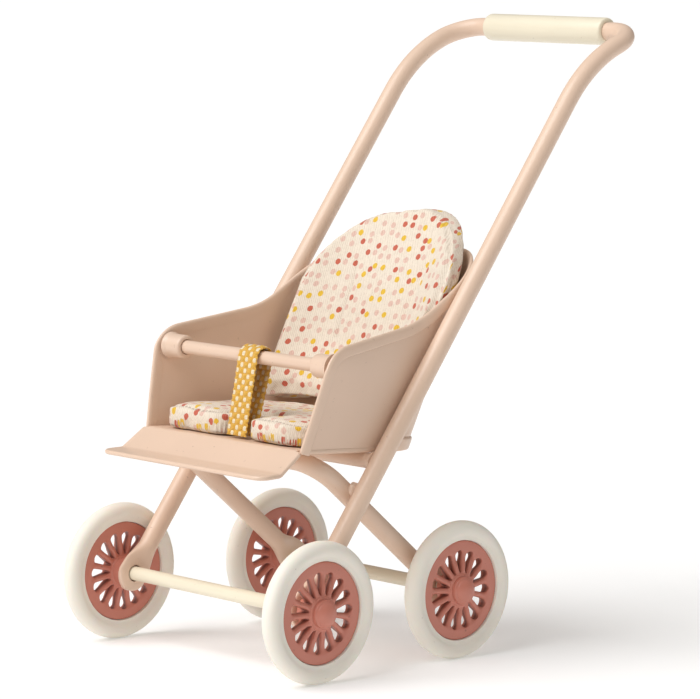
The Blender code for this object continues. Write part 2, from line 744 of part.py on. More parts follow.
def pan_plan():
    """Plan of the pan: full width ahead of the tub, inside the tub's walls behind it."""
    wide = TUB_HALF_WIDTH + SHEET / 2
    narrow = TUB_HALF_WIDTH - SHEET / 2 - HEM_PROUD - FIT_GAP
    front = SEAT_FRONT - FOOTREST_RUN - LIP_RUN - LIP_BEAD
    half_sheet = SHEET / 2 + HEM_PROUD
    rear_wall = back_line(floor_height(BACK_FOOT)) - half_sheet / math.cos(BACK_LEAN) - FIT_GAP
    shoulder = SEAT_FRONT - FIT_GAP
    corner = TUB_CORNER_RADIUS - half_sheet - FIT_GAP
    half = [(wide + FOOTREST_FLARE, front), (wide, shoulder), (narrow, shoulder), (narrow, rear_wall)]
    radii = [FOOTREST_CORNER, 0, 0, corner]
    mirror = [(-x, y) for x, y in reversed(half)]
    return rounded(half + mirror, radii + radii[::-1])


def build_pan(root):
    middle = pan_profile()
    upper = offset_path(middle, -SHEET / 2)
    lower = offset_path(middle, SHEET / 2)
    lip = middle[-1]
    bead = arc((lip[0], lip[1]), LIP_BEAD / 2, math.radians(60), math.radians(300), 8)
    outline = upper[:-1] + bead + lower[-2::-1]
    pan = place("seat_pan", side_mesh("seat_pan", outline, LONG / 2), PAINT, root)
    plan = cutter("pan_plan", flat_mesh("pan_plan", [pan_plan()], LONG), root)
    boolean(pan, plan, "INTERSECT")
    for name, y in (("pan_front_holes", REAR_BAR_Y), ("pan_rear_holes", CROSS_BAR_Y)):
        boolean(pan, rivet_hole_cutter(name, y, root), "DIFFERENCE")


def build_rivets(root):
    head = RIVET_HEAD / 2
    shank = RIVET_SHANK / 2
    foot = SHEET + FIT_GAP + RIVET_BITE
    profile = [
        (0, FIT_GAP + RIVET_HEAD_HEIGHT),
        (head * 0.7, FIT_GAP + RIVET_HEAD_HEIGHT * 0.8),
        (head, FIT_GAP),
        (shank, FIT_GAP),
        (shank, -foot),
        (0, -foot),
    ]
    mesh = turned_mesh("pan_rivet", profile, False, 12)
    for row, y in (("front", REAR_BAR_Y), ("rear", CROSS_BAR_Y)):
        for name, side in (("right", -1), ("left", 1)):
            location = (side * RIVET_SPACING / 2, y, floor_top(y))
            place("pan_rivet_" + row + "_" + name, mesh, PAINT, root, location)


def socket_base():
    """How far out a socket can reach before it meets the tub's wall."""
    reach = SOCKET_DIAMETER / 2
    corners = [(BAR_Y + dy, BAR_Z + dz) for dy in (-reach, reach) for dz in (-reach, reach)]
    narrowest = min(tub_side(y, z) for y, z in corners)
    return narrowest - SHEET / 2 - HEM_PROUD - FIT_GAP


def build_bumper(root):
    base = socket_base()
    outer = SOCKET_DIAMETER / 2
    bore = BAR_DIAMETER / 2 + FIT_GAP
    floor = SOCKET_LENGTH - SOCKET_DEPTH
    edge = outer * 0.12
    profile = [
        (bore, SOCKET_LENGTH),
        (outer - edge, SOCKET_LENGTH),
        (outer, SOCKET_LENGTH - edge),
        (outer, 0),
        (0, 0),
    ]
    inside = [(0, floor), (bore, floor)]
    mesh = turned_mesh("bumper_socket", inside + profile, False, SMALL_STEPS)
    for name, side in (("right", -1), ("left", 1)):
        turn = (0, -side * math.pi / 2, 0)
        place("bumper_socket_" + name, mesh, PAINT, root, (side * base, BAR_Y, BAR_Z), turn)
    half = base - floor - FIT_GAP
    bar = rod_mesh("bumper_bar", BAR_DIAMETER / 2, 2 * half)
    place("bumper_bar", bar, PAINT, root, (0, BAR_Y, BAR_Z), (0, math.pi / 2, 0))


# Soft parts


def build_seat_pad(root):
    """A flat pad with two round front lobes and a notch where the strap passes."""
    half = TUB_HALF_WIDTH - SHEET / 2 - SIDE_EASE
    front = SEAT_FRONT + SEAT_PAD_FRONT
    rear = front + SEAT_PAD_LENGTH
    notch = STRAP_WIDTH / 2 + NOTCH_EASE
    inner = front + NOTCH_DEPTH
    corners = [
        (half, front),
        (half, rear),
        (-half, rear),
        (-half, front),
        (STRAP_CENTRE - notch, front),
        (STRAP_CENTRE - notch, inner),
        (STRAP_CENTRE + notch, inner),
        (STRAP_CENTRE + notch, front),
    ]
    radii = [SEAT_PAD_CORNER, TUB_CORNER_RADIUS, TUB_CORNER_RADIUS, SEAT_PAD_CORNER]
    radii += [NOTCH_CORNER, 0, 0, NOTCH_CORNER]
    mesh = flat_mesh("seat_cushion", [rounded(corners, radii)], SEAT_PAD_THICKNESS)
    lift = SEAT_PAD_LIFT + SEAT_PAD_THICKNESS / 2
    slope = math.tan(FLOOR_TILT)
    for vertex in mesh.vertices:
        vertex.co.z += floor_top(0) - slope * vertex.co.y + lift
    pad = place("seat_cushion", mesh, CLOTH, root)
    soft_edge = pad.modifiers.new("soft_edge", "BEVEL")
    soft_edge.width = SOFT_EDGE
    soft_edge.segments = 2
    soft_edge.limit_method = "ANGLE"
    soft_edge.angle_limit = math.radians(60)


def back_pad_half_width(z):
    """Half width of the back pad, widening upwards and closing in a dome over its last stretch."""
    share = (z - BACK_PAD_FOOT) / (BACK_PAD_TOP - BACK_PAD_FOOT)
    half = (BACK_PAD_FOOT_WIDTH + (BACK_PAD_WIDTH - BACK_PAD_FOOT_WIDTH) * share) / 2
    into_dome = max(z - (BACK_PAD_TOP - BACK_PAD_DOME), 0) / BACK_PAD_DOME
    narrowing = math.sqrt(1 - into_dome**2)
    return BACK_PAD_CREST / 2 + (half - BACK_PAD_CREST / 2) * narrowing


def build_back_pad(root):
    """A pad against the back wall, domed above it, its sides brought forward in the tub."""
    columns = 8
    rows = 8
    work = bmesh.new()
    bmesh.ops.create_grid(work, x_segments=columns, y_segments=rows, size=1)
    for vertex in work.verts:
        across = vertex.co.x
        up = math.sin((vertex.co.y + 1) * math.pi / 4)
        z = BACK_PAD_FOOT + (BACK_PAD_TOP - BACK_PAD_FOOT) * up
        half = back_pad_half_width(z)
        y = back_line(z) - SHEET / 2 - HEM_PROUD - BACK_PAD_EASE - BACK_PAD_THICKNESS / 2
        wrap = max(half * abs(across) - WRAP_START, 0) / (BACK_PAD_WIDTH / 2 - WRAP_START)
        vertex.co = (half * across + BACK_PAD_SHIFT * up, y - WRAP_DEPTH * wrap**2, z)
    bmesh.ops.recalc_face_normals(work, faces=work.faces)
    mesh = bpy.data.meshes.new("back_cushion")
    work.to_mesh(mesh)
    work.free()
    pad = place("back_cushion", mesh, CLOTH, root)
    filling = pad.modifiers.new("filling", "SOLIDIFY")
    filling.thickness = BACK_PAD_THICKNESS
    filling.offset = 0
    softness = pad.modifiers.new("softness", "SUBSURF")
    softness.levels = 1
    softness.render_levels = 1


def tangent_angle(centre, radius, foot, side):
    """Where a line from a foot below touches a circle: side 1 in front of it, -1 behind it."""
    away = Vector(foot) - Vector(centre)
    return math.atan2(away.y, away.x) % (2 * math.pi) - side * math.acos(radius / away.length)


def build_strap(root):
    """A loop of webbing from the front of the seat over the bumper bar and back down."""
    half = STRAP_THICKNESS / 2
    round_bar = BAR_DIAMETER / 2 + FIT_GAP + half
    bar = (BAR_Y, BAR_Z)
    front_y = SEAT_FRONT + STRAP_FRONT_FOOT
    rear_y = SEAT_FRONT + STRAP_REAR_FOOT
    front_foot = (front_y, floor_top(front_y) + 2 * FIT_GAP)
    rear_foot = (rear_y, floor_top(rear_y) + 2 * FIT_GAP)
    start = tangent_angle(bar, round_bar, front_foot, 1)
    end = tangent_angle(bar, round_bar, rear_foot, -1) - 2 * math.pi
    middle = [front_foot] + arc(bar, round_bar, start, end, 10) + [rear_foot]
    outline = offset_path(middle, half) + offset_path(middle, -half)[::-1]
    mesh = side_mesh("strap", outline, STRAP_WIDTH, STRAP_CENTRE)
    place("strap", mesh, WEBBING, root)


fresh_scene()
PARTS = new_collection("doll_stroller")
CUTTERS = new_collection("cutters")
PAINT = material("blush_paint", (0.80, 0.66, 0.58), 0.45)
CREAM = material("cream_enamel", (0.86, 0.80, 0.68), 0.4)
ROSE = material("rose_enamel", (0.52, 0.24, 0.19), 0.45)
RUBBER = material("ivory_rubber", (0.80, 0.76, 0.69), 0.6)
CLOTH = material("spotted_cotton", (0.85, 0.78, 0.68), 0.9)
WEBBING = material("woven_webbing", (0.78, 0.50, 0.10), 0.9)


def build():
    leg, half = handle_path()
    bar = half[-1]
    front_end = min(FRONT_AXLE_Y - WHEEL_RADIUS, SEAT_FRONT - FOOTREST_RUN - LIP_RUN - LIP_BEAD)
    rear_end = max(REAR_AXLE_Y + WHEEL_RADIUS, bar.y + GRIP_DIAMETER / 2)
    root = bpy.data.objects.new("stroller", None)
    PARTS.objects.link(root)
    root.location = (0, -(front_end + rear_end) / 2, 0)
    build_handle(root)
    build_grip(root, bar)
    build_rear_frame(root)
    build_cross_bar(root)
    build_welds(root)
    build_running_gear(root)
    build_shell(root)
    build_pan(root)
    build_rivets(root)
    build_bumper(root)
    build_seat_pad(root)
    build_back_pad(root)
    build_strap(root)


build()
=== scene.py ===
"""Doll's stroller: the visible pieces, their finishes and the stage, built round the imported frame.

Metres, +Z up, -Y is the front (footrest). Side 1 is +X and side -1 is -X.
"""

import math

import bpy
import numpy as np
from bpy.props import FloatProperty, FloatVectorProperty, IntProperty, PointerProperty
from mathutils import Matrix, Vector, noise
from mathutils.kdtree import KDTree


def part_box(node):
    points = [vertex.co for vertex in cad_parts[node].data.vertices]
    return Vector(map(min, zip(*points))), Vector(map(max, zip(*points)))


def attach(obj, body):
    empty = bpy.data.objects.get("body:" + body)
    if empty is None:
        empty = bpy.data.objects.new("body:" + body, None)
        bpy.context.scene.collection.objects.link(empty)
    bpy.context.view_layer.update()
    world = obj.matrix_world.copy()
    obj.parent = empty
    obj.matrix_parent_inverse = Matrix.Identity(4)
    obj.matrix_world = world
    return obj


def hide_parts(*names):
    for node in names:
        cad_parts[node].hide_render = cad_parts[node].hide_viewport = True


bl_info = {
    "name": "Doll stroller",
    "version": (1, 0, 0),
    "blender": (4, 5, 0),
    "location": "View3D > Sidebar > Stroller",
    "description": "Builds a doll stroller's tubes, sheet-metal seat, wheels, cushions and strap",
    "category": "Object",
}

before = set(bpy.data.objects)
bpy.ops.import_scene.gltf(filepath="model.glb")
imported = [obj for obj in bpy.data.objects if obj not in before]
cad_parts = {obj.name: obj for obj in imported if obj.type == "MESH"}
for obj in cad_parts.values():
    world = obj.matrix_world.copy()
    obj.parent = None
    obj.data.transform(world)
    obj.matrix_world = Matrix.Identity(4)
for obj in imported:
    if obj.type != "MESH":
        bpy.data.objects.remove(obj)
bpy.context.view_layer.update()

MM = 0.001
WORK_SCALE = 10


def middle(node):
    low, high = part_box(node)
    return (low + high) / 2


def extent(node):
    low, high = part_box(node)
    return high - low


FRONT_AXLE = middle("front_axle")
REAR_AXLE = middle("rear_axle")
MID_Y = (FRONT_AXLE.y + REAR_AXLE.y) / 2
WHEEL_RADIUS = extent("tyre_front_left").z / 2

# Tubes
HANDLE_SPACING = 55.9 * MM
HANDLE_LEAN = math.radians(35.6)
HANDLE_STRAIGHT = 130.9 * MM
HANDLE_BEND_RADIUS = 36.4 * MM
HANDLE_SWEEP = math.radians(67.7)
HANDLE_CORNER_RADIUS = 7.3 * MM
REAR_SPACING = 46.9 * MM
REAR_BAR_Y = -15.15 * MM
REAR_CORNER_RADIUS = 7.0 * MM
PAD_RADIUS = 4.0 * MM
PAD_THICKNESS = 1.5 * MM
PAD_FLAT = 2.5 * MM
PAD_END = 7.5 * MM
BORE_RADIUS = 1.85 * MM

# Seat metal
SEAT_FRONT = -21.6 * MM
SEAT_FRONT_HEIGHT = 47.9 * MM
FLOOR_TILT = math.radians(2.7)
BACK_FOOT = 16.1 * MM
BACK_LEAN = math.radians(25.5)
TUB_HALF_WIDTH = 24.95 * MM
TUB_CORNER = 10.5 * MM
SPLAY = 2.8 * MM
SIDE_HEIGHT = 21.7 * MM
SIDE_FRONT_LEAN = 5.3 * MM
SIDE_CORNER_RADIUS = 8.0 * MM
SIDE_TOP_RUN = 28.3 * MM
SIDE_TOP_RISE = 4.4 * MM
WING_RISE = 0.62
WING_FILLET = 25.0 * MM
FOOTREST_RUN = 6.0 * MM
FOOTREST_DROP = 4.3 * MM
LIP_RUN = 5.6 * MM
LIP_DROP = 0.2 * MM
FOOTREST_CORNER = 2.6 * MM
FOOTREST_FLARE = 0.9 * MM
TRIM_REACH = 60 * MM

# Wheels
DISC_RADIUS = 10.95 * MM
DISC_FACE = 1.05 * MM
SLOT_TIP = 8.85 * MM
SLOT_ROOT = 3.8 * MM
SLOT_ROUND = 0.95 * MM
SLOT_NARROW = 0.27 * MM
TYRE_REACH = 2.0 * MM

# Cushions and strap
PAD_VOXEL = 0.52 * MM
PAD_WALL = 24.35 * MM
BACK_PAD_FLAT = 9 * MM
BACK_PAD_TURN = 13.8 * MM
SWELL_FRAMES = 20
BACK_PAD_SLIDE = 0.9 * MM
STRAP_CENTRE = 1.6 * MM
BAR_AT = (-13.6 * MM, 65.8 * MM)

# Camera
AZIMUTH = math.radians(46.62)
ELEVATION = math.radians(5.968)
ROLL = math.radians(1.419)
LENS = 183.1
CAMERA_REACH = 786.04 * MM
AIM_RIGHT = 13.176 * MM
AIM_UP = 66.107 * MM


def length_property(name, description, default):
    return FloatProperty(name=name, description=description, default=default, unit="LENGTH", precision=5)


class StrollerSizes(bpy.types.PropertyGroup):
    """Sizes that change the look of the stroller."""

    tube_radius: length_property("Tube radius", "Radius of the handle and rear leg tubes", 2.1 * MM)
    sheet: length_property("Sheet thickness", "Thickness of the seat's sheet metal", 0.6 * MM)
    hem_width: length_property("Hem width", "Width of the rolled hem round the seat's open edge", 2.5 * MM)
    slot_count: IntProperty(
        name="Wheel slots",
        description="Number of slots in each wheel disc",
        default=15,
        min=5,
        max=24,
    )
    bar_radius: length_property("Bumper radius", "Radius of the bumper bar", extent("bumper_bar").z / 2)
    strap_width: length_property("Strap width", "Width of the woven strap", extent("strap").x)
    dot_pitch: FloatProperty(
        name="Dot pitch",
        description="Usual distance between two printed dots, in millimetres",
        default=2.7,
    )
    dot_radius: FloatProperty(
        name="Dot radius",
        description="Radius of a printed dot, in millimetres",
        default=0.72,
    )
    seat_swell: length_property("Seat pad swell", "Furthest that the seat pad's cloth may swell", 1.3 * MM)
    back_swell: length_property("Back pad swell", "Furthest that the back pad's cloth may swell", 1.2 * MM)


def colour_property(name, description, default):
    return FloatVectorProperty(
        name=name, description=description, default=(*default, 1.0), size=4, subtype="COLOR", min=0, max=1
    )


class StrollerColours(bpy.types.PropertyGroup):
    """Colours of the finishes."""

    paint: colour_property("Blush paint", "Frame and seat paint", (0.78, 0.575, 0.44))
    cream: colour_property("Cream enamel", "Grip sleeve and axles", (0.84, 0.77, 0.605))
    rose: colour_property("Rose enamel", "Wheel discs and caps", (0.60, 0.21, 0.15))
    rubber: colour_property("Ivory rubber", "Tyres", (0.90, 0.86, 0.77))
    cotton: colour_property("Cotton", "Ground of the cushions' cloth", (0.86, 0.765, 0.64))
    mustard: colour_property("Mustard", "Mustard dots", (0.82, 0.52, 0.035))
    terracotta: colour_property("Terracotta", "Terracotta dots", (0.60, 0.13, 0.075))
    pink: colour_property("Dusty pink", "Faint pink dots", (0.74, 0.42, 0.35))
    webbing: colour_property("Webbing mustard", "Mustard yarn of the strap", (0.78, 0.44, 0.06))
    yarn: colour_property("Webbing cream", "Cream yarn of the strap", (0.90, 0.78, 0.55))


# Working with objects


def deselect():
    if bpy.context.mode != "OBJECT":
        bpy.ops.object.mode_set(mode="OBJECT")
    bpy.ops.object.select_all(action="DESELECT")


def pick(piece):
    deselect()
    piece.select_set(True)
    bpy.context.view_layer.objects.active = piece


def edit(piece):
    """Enter edit mode on one piece with all of it selected."""
    pick(piece)
    bpy.ops.object.mode_set(mode="EDIT")
    bpy.ops.mesh.select_all(action="SELECT")


def leave_edit():
    bpy.ops.object.mode_set(mode="OBJECT")


def clean(piece, distance=0.003 * MM):
    """Merge doubles, close open ends and turn the faces outwards."""
    edit(piece)
    bpy.ops.mesh.remove_doubles(threshold=distance)
    bpy.ops.mesh.dissolve_degenerate(threshold=distance)
    bpy.ops.mesh.delete_loose(use_verts=True, use_edges=True, use_faces=False)
    bpy.ops.mesh.select_all(action="SELECT")
    bpy.ops.mesh.fill_holes(sides=0)
    bpy.ops.mesh.select_all(action="SELECT")
    bpy.ops.mesh.normals_make_consistent(inside=False)
    leave_edit()


def apply(piece, modifier):
    pick(piece)
    bpy.ops.object.modifier_apply(modifier=modifier.name)


def cut(piece, tool, operation="DIFFERENCE"):
    change = piece.modifiers.new("cut", "BOOLEAN")
    change.solver = "EXACT"
    change.operation = operation
    change.object = tool
    apply(piece, change)
    bpy.data.objects.remove(tool, do_unlink=True)


def join(target, *others):
    pick(target)
    for other in others:
        other.select_set(True)
    bpy.context.view_layer.objects.active = target
    bpy.ops.object.join()
    return target


def copy_of(piece, name, matrix):
    """A copy with its own mesh, moved by a matrix that is applied to the mesh."""
    made = piece.copy()
    made.data = piece.data.copy()
    made.name = name
    bpy.context.scene.collection.objects.link(made)
    made.data.transform(matrix)
    return made


def grid(name, columns, rows, place):
    """A grid whose points are placed by a function of (across 0..1, along 0..1)."""
    deselect()
    bpy.ops.mesh.primitive_grid_add(x_subdivisions=columns, y_subdivisions=rows, size=2)
    piece = bpy.context.active_object
    piece.name = name
    for vertex in piece.data.vertices:
        vertex.co = place((vertex.co.x + 1) / 2, (vertex.co.y + 1) / 2)
    return piece


def loft(name, rings, shades=None):
    """A skin over closed rings with filled ends; shades give each ring point's painted shade."""
    around = len(rings[0])

    def place(across, along):
        ring = rings[round(along * (len(rings) - 1))]
        return ring[round(across * around) % around]

    piece = grid(name, around, len(rings) - 1, place)
    if shades:
        set_seam_and_shade(piece, lambda co, n: shades[n % (around + 1) % around])
    clean(piece)
    return piece


def turned(name, profile, centre, steps=48):
    """A closed profile of (along X, radius) points turned about the X axis through a centre."""
    deselect()
    bpy.ops.mesh.primitive_circle_add(vertices=len(profile), radius=1, fill_type="NOTHING")
    piece = bpy.context.active_object
    piece.name = name
    for vertex, (along, radius) in zip(piece.data.vertices, profile):
        vertex.co = (along, 0, -radius)
    edit(piece)
    bpy.ops.mesh.spin(steps=steps, angle=2 * math.pi, center=(0, 0, 0), axis=(1, 0, 0))
    leave_edit()
    clean(piece)
    piece.data.transform(Matrix.Translation(centre))
    return piece


def turned_rod(name, node, radius, bevel):
    """A rod along X in a node's place, its ends bevelled."""
    half = extent(node).x / 2
    side = [(half, 0), (half, radius - bevel), (half - bevel, radius)]
    side += [(half * n / 6, radius) for n in (5, 4, 3, 2, 1)]
    return turned(name, both_ends(side), middle(node), 40)


def bent_tube(name, points, radius, sides=32):
    """A round tube with closed ends along a line of points."""
    deselect()
    bpy.ops.curve.primitive_bezier_curve_add()
    curve = bpy.context.active_object.data
    curve.splines.clear()
    curve.dimensions = "3D"
    curve.bevel_depth = radius
    curve.bevel_resolution = (sides - 4) // 2
    curve.use_fill_caps = True
    spline = curve.splines.new("POLY")
    spline.points.add(len(points) - 1)
    for point, here in zip(spline.points, points):
        point.co = (*here, 1)
    bpy.ops.object.convert(target="MESH")
    tube = bpy.context.active_object
    tube.name = name
    clean(tube)
    return tube


def finish_piece(piece, finish, body, slot, nodes=(), angle=35):
    """Shade, paint and hang a finished piece on its body."""
    pick(piece)
    bpy.ops.object.transform_apply(location=True, rotation=True, scale=True)
    bpy.ops.object.shade_smooth_by_angle(angle=math.radians(angle))
    piece.data.materials.clear()
    piece.data.materials.append(finish)
    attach(piece, body)
    if nodes:
        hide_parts(*nodes)
    return piece


def paint_metal(piece, node, angle=35):
    """Finish a piece of the frame in its blush paint, in the place of a node."""
    finish_piece(piece, blush_paint(), "frame", "blush_paint", [node], angle)


def rounded(corners, radii, step=4.0):
    """A path with each corner rounded to its radius, an arc step every few degrees."""
    points = []
    last = len(corners) - 1
    for index, (corner, radius) in enumerate(zip(corners, radii)):
        if radius == 0 or index in (0, last):
            points.append(Vector(corner))
            continue
        here = Vector(corner)
        before = (Vector(corners[index - 1]) - here).normalized()
        after = (Vector(corners[index + 1]) - here).normalized()
        half = before.angle(after) / 2
        centre = here + (before + after).normalized() * radius / math.sin(half)
        first = here + before * radius / math.tan(half) - centre
        last_spoke = here + after * radius / math.tan(half) - centre
        start = math.atan2(first.y, first.x)
        turn = math.atan2(first.x * last_spoke.y - first.y * last_spoke.x, first.dot(last_spoke))
        steps = max(2, round(abs(math.degrees(turn)) / step))
        for n in range(steps + 1):
            angle = start + turn * n / steps
            points.append(centre + Vector((math.cos(angle), math.sin(angle))) * radius)
    return points


def resampled(points, spacing):
    """A path with extra points so that no step is longer than a spacing."""
    out = [points[0]]
    for first, second in zip(points, points[1:]):
        count = max(1, math.ceil((second - first).length / spacing))
        out += [first.lerp(second, n / count) for n in range(1, count + 1)]
    return out


def in_mm(pairs):
    """Pairs of millimetres as metres."""
    return [(first * MM, second * MM) for first, second in pairs]


def both_ends(half):
    """A closed profile from its +X half, which starts and ends away from the middle."""
    return half + [(-x, r) for x, r in reversed(half)]


def smooth_step(value):
    value = min(max(value, 0), 1)
    return value * value * (3 - 2 * value)


def bump_curve(distance, width):
    """1 on a line and falling to 0 a width away from it."""
    return math.exp(-((distance / width) ** 2))


def at(x, y, z):
    """A point given with y measured from the middle of the wheelbase."""
    return Vector((x, y + MID_Y, z))


# Shader node groups and materials


def add_node(tree, kind, **values):
    made = tree.nodes.new(kind)
    for name, value in values.items():
        setattr(made, name, value)
    return made


def feed(tree, socket, value):
    """Link a socket to another one, or set it to a constant."""
    if isinstance(value, bpy.types.NodeSocket):
        tree.links.new(value, socket)
    else:
        socket.default_value = value


def math_node(tree, operation, *values):
    made = add_node(tree, "ShaderNodeMath", operation=operation)
    for socket, value in zip(made.inputs, values):
        feed(tree, socket, value)
    return made.outputs[0]


def vector_node(tree, operation, first, second):
    made = add_node(tree, "ShaderNodeVectorMath", operation=operation)
    feed(tree, made.inputs[0], first)
    feed(tree, made.inputs["Scale" if operation == "SCALE" else 1], second)
    return made.outputs["Value" if operation == "DOT_PRODUCT" else "Vector"]


def mix_colours(tree, factor, first, second, blend="MIX"):
    made = add_node(tree, "ShaderNodeMix", data_type="RGBA", blend_type=blend)
    for number, value in ((0, factor), (6, first), (7, second)):
        feed(tree, made.inputs[number], value)
    return made.outputs[2]


def remap(tree, value, low, high, out_low=0.0, out_high=1.0):
    made = add_node(tree, "ShaderNodeMapRange", interpolation_type="SMOOTHSTEP")
    tree.links.new(value, made.inputs["Value"])
    for name, number in (("From Min", low), ("From Max", high), ("To Min", out_low), ("To Max", out_high)):
        feed(tree, made.inputs[name], number)
    return made.outputs["Result"]


def noise_node(tree, vector, scale, detail=3.0, roughness=0.5):
    made = add_node(tree, "ShaderNodeTexNoise")
    tree.links.new(vector, made.inputs["Vector"])
    made.inputs["Scale"].default_value = scale
    made.inputs["Detail"].default_value = detail
    made.inputs["Roughness"].default_value = roughness
    return made


def new_group(name, inputs, outputs):
    group = bpy.data.node_groups.new(name, "ShaderNodeTree")
    for label, kind, default in inputs:
        socket = group.interface.new_socket(label, in_out="INPUT", socket_type=kind)
        if default is not None:
            socket.default_value = default
    for label, kind in outputs:
        group.interface.new_socket(label, in_out="OUTPUT", socket_type=kind)
    start = group.nodes.new("NodeGroupInput")
    end = group.nodes.new("NodeGroupOutput")
    return group, start.outputs, end.inputs


def enamel_group():
    """Sprayed enamel: cloudy tone, fine orange peel, rubbed patches, dust specks, and painted shade where a
    stored per-point amount says.
    """
    group, get, put = new_group(
        "sprayed_enamel",
        [
            ("Vector", "NodeSocketVector", None),
            ("Colour", "NodeSocketColor", (0.8, 0.8, 0.8, 1)),
            ("Seam Colour", "NodeSocketColor", (0.2, 0.1, 0.08, 1)),
            ("Seam", "NodeSocketFloat", 0.0),
            ("Cloud", "NodeSocketFloat", 0.06),
            ("Roughness", "NodeSocketFloat", 0.4),
        ],
        [("Colour", "NodeSocketColor"), ("Roughness", "NodeSocketFloat"), ("Height", "NodeSocketFloat")],
    )
    cloud = noise_node(group, get["Vector"], 70, 4).outputs["Fac"]
    tone = math_node(group, "SUBTRACT", cloud, 0.5)
    tone = math_node(group, "MULTIPLY", tone, get["Cloud"])
    tone = math_node(group, "MULTIPLY_ADD", tone, 2.0, 1.0)
    shaded = vector_node(group, "SCALE", get["Colour"], tone)
    # Dust specks in the dark second colour, which also serves for the painted shade below.
    specks = noise_node(group, get["Vector"], 900, 2, 0.7).outputs["Fac"]
    speck_mask = remap(group, specks, 0.70, 0.76, 0.0, 0.35)
    colour = mix_colours(group, speck_mask, shaded, get["Seam Colour"])
    # Painted shade: mix towards the dark second colour by the piece's stored per-point shade amount.
    seam_and_shade = mix_colours(group, get["Seam"], colour, get["Seam Colour"])
    group.links.new(seam_and_shade, put["Colour"])
    rubbed = noise_node(group, get["Vector"], 160, 3, 0.6).outputs["Fac"]
    rough = math_node(group, "MULTIPLY_ADD", rubbed, 0.22, -0.11)
    rough = math_node(group, "ADD", rough, get["Roughness"])
    group.links.new(rough, put["Roughness"])
    peel = noise_node(group, get["Vector"], 1400, 2).outputs["Fac"]
    broad = noise_node(group, get["Vector"], 260, 2).outputs["Fac"]
    height = math_node(group, "MULTIPLY_ADD", broad, 1.5, peel)
    group.links.new(height, put["Height"])
    return group


def print_group():
    """Cotton printed with scattered round dots in three colours."""
    group, get, put = new_group(
        "dotted_print",
        [
            ("Vector", "NodeSocketVector", None),
            ("Ground", "NodeSocketColor", (0.8, 0.8, 0.8, 1)),
            ("Mustard", "NodeSocketColor", (0.8, 0.6, 0.1, 1)),
            ("Terracotta", "NodeSocketColor", (0.6, 0.2, 0.1, 1)),
            ("Pink", "NodeSocketColor", (0.8, 0.5, 0.5, 1)),
            ("Pitch", "NodeSocketFloat", 2.7),
            ("Dot Radius", "NodeSocketFloat", 0.7),
        ],
        [("Colour", "NodeSocketColor")],
    )
    wobble = noise_node(group, get["Vector"], 2.2, 2)
    centred = vector_node(group, "SUBTRACT", wobble.outputs["Color"], (0.5, 0.5, 0.5))
    moved = vector_node(group, "ADD", get["Vector"], vector_node(group, "SCALE", centred, 0.28))
    inverse = math_node(group, "DIVIDE", 1.0, get["Pitch"])
    cells = add_node(group, "ShaderNodeTexVoronoi", voronoi_dimensions="2D", feature="F1")
    group.links.new(vector_node(group, "SCALE", moved, inverse), cells.inputs["Vector"])
    cells.inputs["Scale"].default_value = 1.0
    cells.inputs["Randomness"].default_value = 0.62
    reach = math_node(group, "MULTIPLY", get["Dot Radius"], inverse)
    outside = math_node(group, "MULTIPLY", reach, 1.1)
    inside = math_node(group, "MULTIPLY", reach, 0.88)
    mask = remap(group, cells.outputs["Distance"], inside, outside, 1.0, 0.0)
    split = add_node(group, "ShaderNodeSeparateColor")
    group.links.new(cells.outputs["Color"], split.inputs[0])
    pick_yellow = math_node(group, "LESS_THAN", split.outputs[0], 0.24)
    pick_red = math_node(group, "GREATER_THAN", split.outputs[0], 0.78)
    grain = noise_node(group, get["Vector"], 5.0, 2, 0.7).outputs["Fac"]
    faint = remap(group, grain, 0.32, 0.62, 0.35, 0.85)
    pinkish = mix_colours(group, faint, get["Ground"], get["Pink"])
    dots = mix_colours(group, pick_yellow, pinkish, get["Mustard"])
    dots = mix_colours(group, pick_red, dots, get["Terracotta"])
    colour = mix_colours(group, mask, get["Ground"], dots)
    fleck = noise_node(group, get["Vector"], 3.1, 1, 0.4).outputs["Fac"]
    fine = noise_node(group, get["Vector"], 7.5, 1, 0.4).outputs["Fac"]
    both = math_node(group, "MULTIPLY", remap(group, fleck, 0.58, 0.66), remap(group, fine, 0.62, 0.68))
    colour = mix_colours(group, math_node(group, "MULTIPLY", both, 0.5), colour, (0.16, 0.10, 0.07, 1))
    group.links.new(colour, put["Colour"])
    return group


def twill_group():
    """Slubby diagonal twill: a height and a shade, on millimetre coordinates."""
    group, get, put = new_group(
        "slub_twill",
        [("Vector", "NodeSocketVector", None), ("Pitch", "NodeSocketFloat", 0.4)],
        [("Height", "NodeSocketFloat"), ("Shade", "NodeSocketFloat")],
    )
    slub = noise_node(group, get["Vector"], 0.9, 3, 0.6)
    bend = vector_node(group, "SCALE", slub.outputs["Color"], 0.35)
    moved = vector_node(group, "ADD", get["Vector"], bend)

    def ripple(direction, share):
        along = vector_node(group, "DOT_PRODUCT", moved, direction)
        turns = math_node(group, "DIVIDE", along, get["Pitch"])
        wave = math_node(group, "SINE", math_node(group, "MULTIPLY", turns, 2 * math.pi * share))
        return math_node(group, "MULTIPLY_ADD", wave, 0.5, 0.5)

    ribs = ripple((0.83, 0.56, 0), 1.0)
    picks = ripple((-0.3, 0.95, 0), 1.6)
    height = math_node(group, "MULTIPLY_ADD", picks, 0.35, ribs)
    fuzz = noise_node(group, get["Vector"], 9, 2, 0.7).outputs["Fac"]
    height = math_node(group, "MULTIPLY_ADD", fuzz, 0.6, height)
    group.links.new(height, put["Height"])
    patch = remap(group, slub.outputs["Fac"], 0.35, 0.65, 0.35, 1.0)
    shade = math_node(group, "MULTIPLY", math_node(group, "SUBTRACT", 1.0, ribs), patch)
    group.links.new(shade, put["Shade"])
    return group


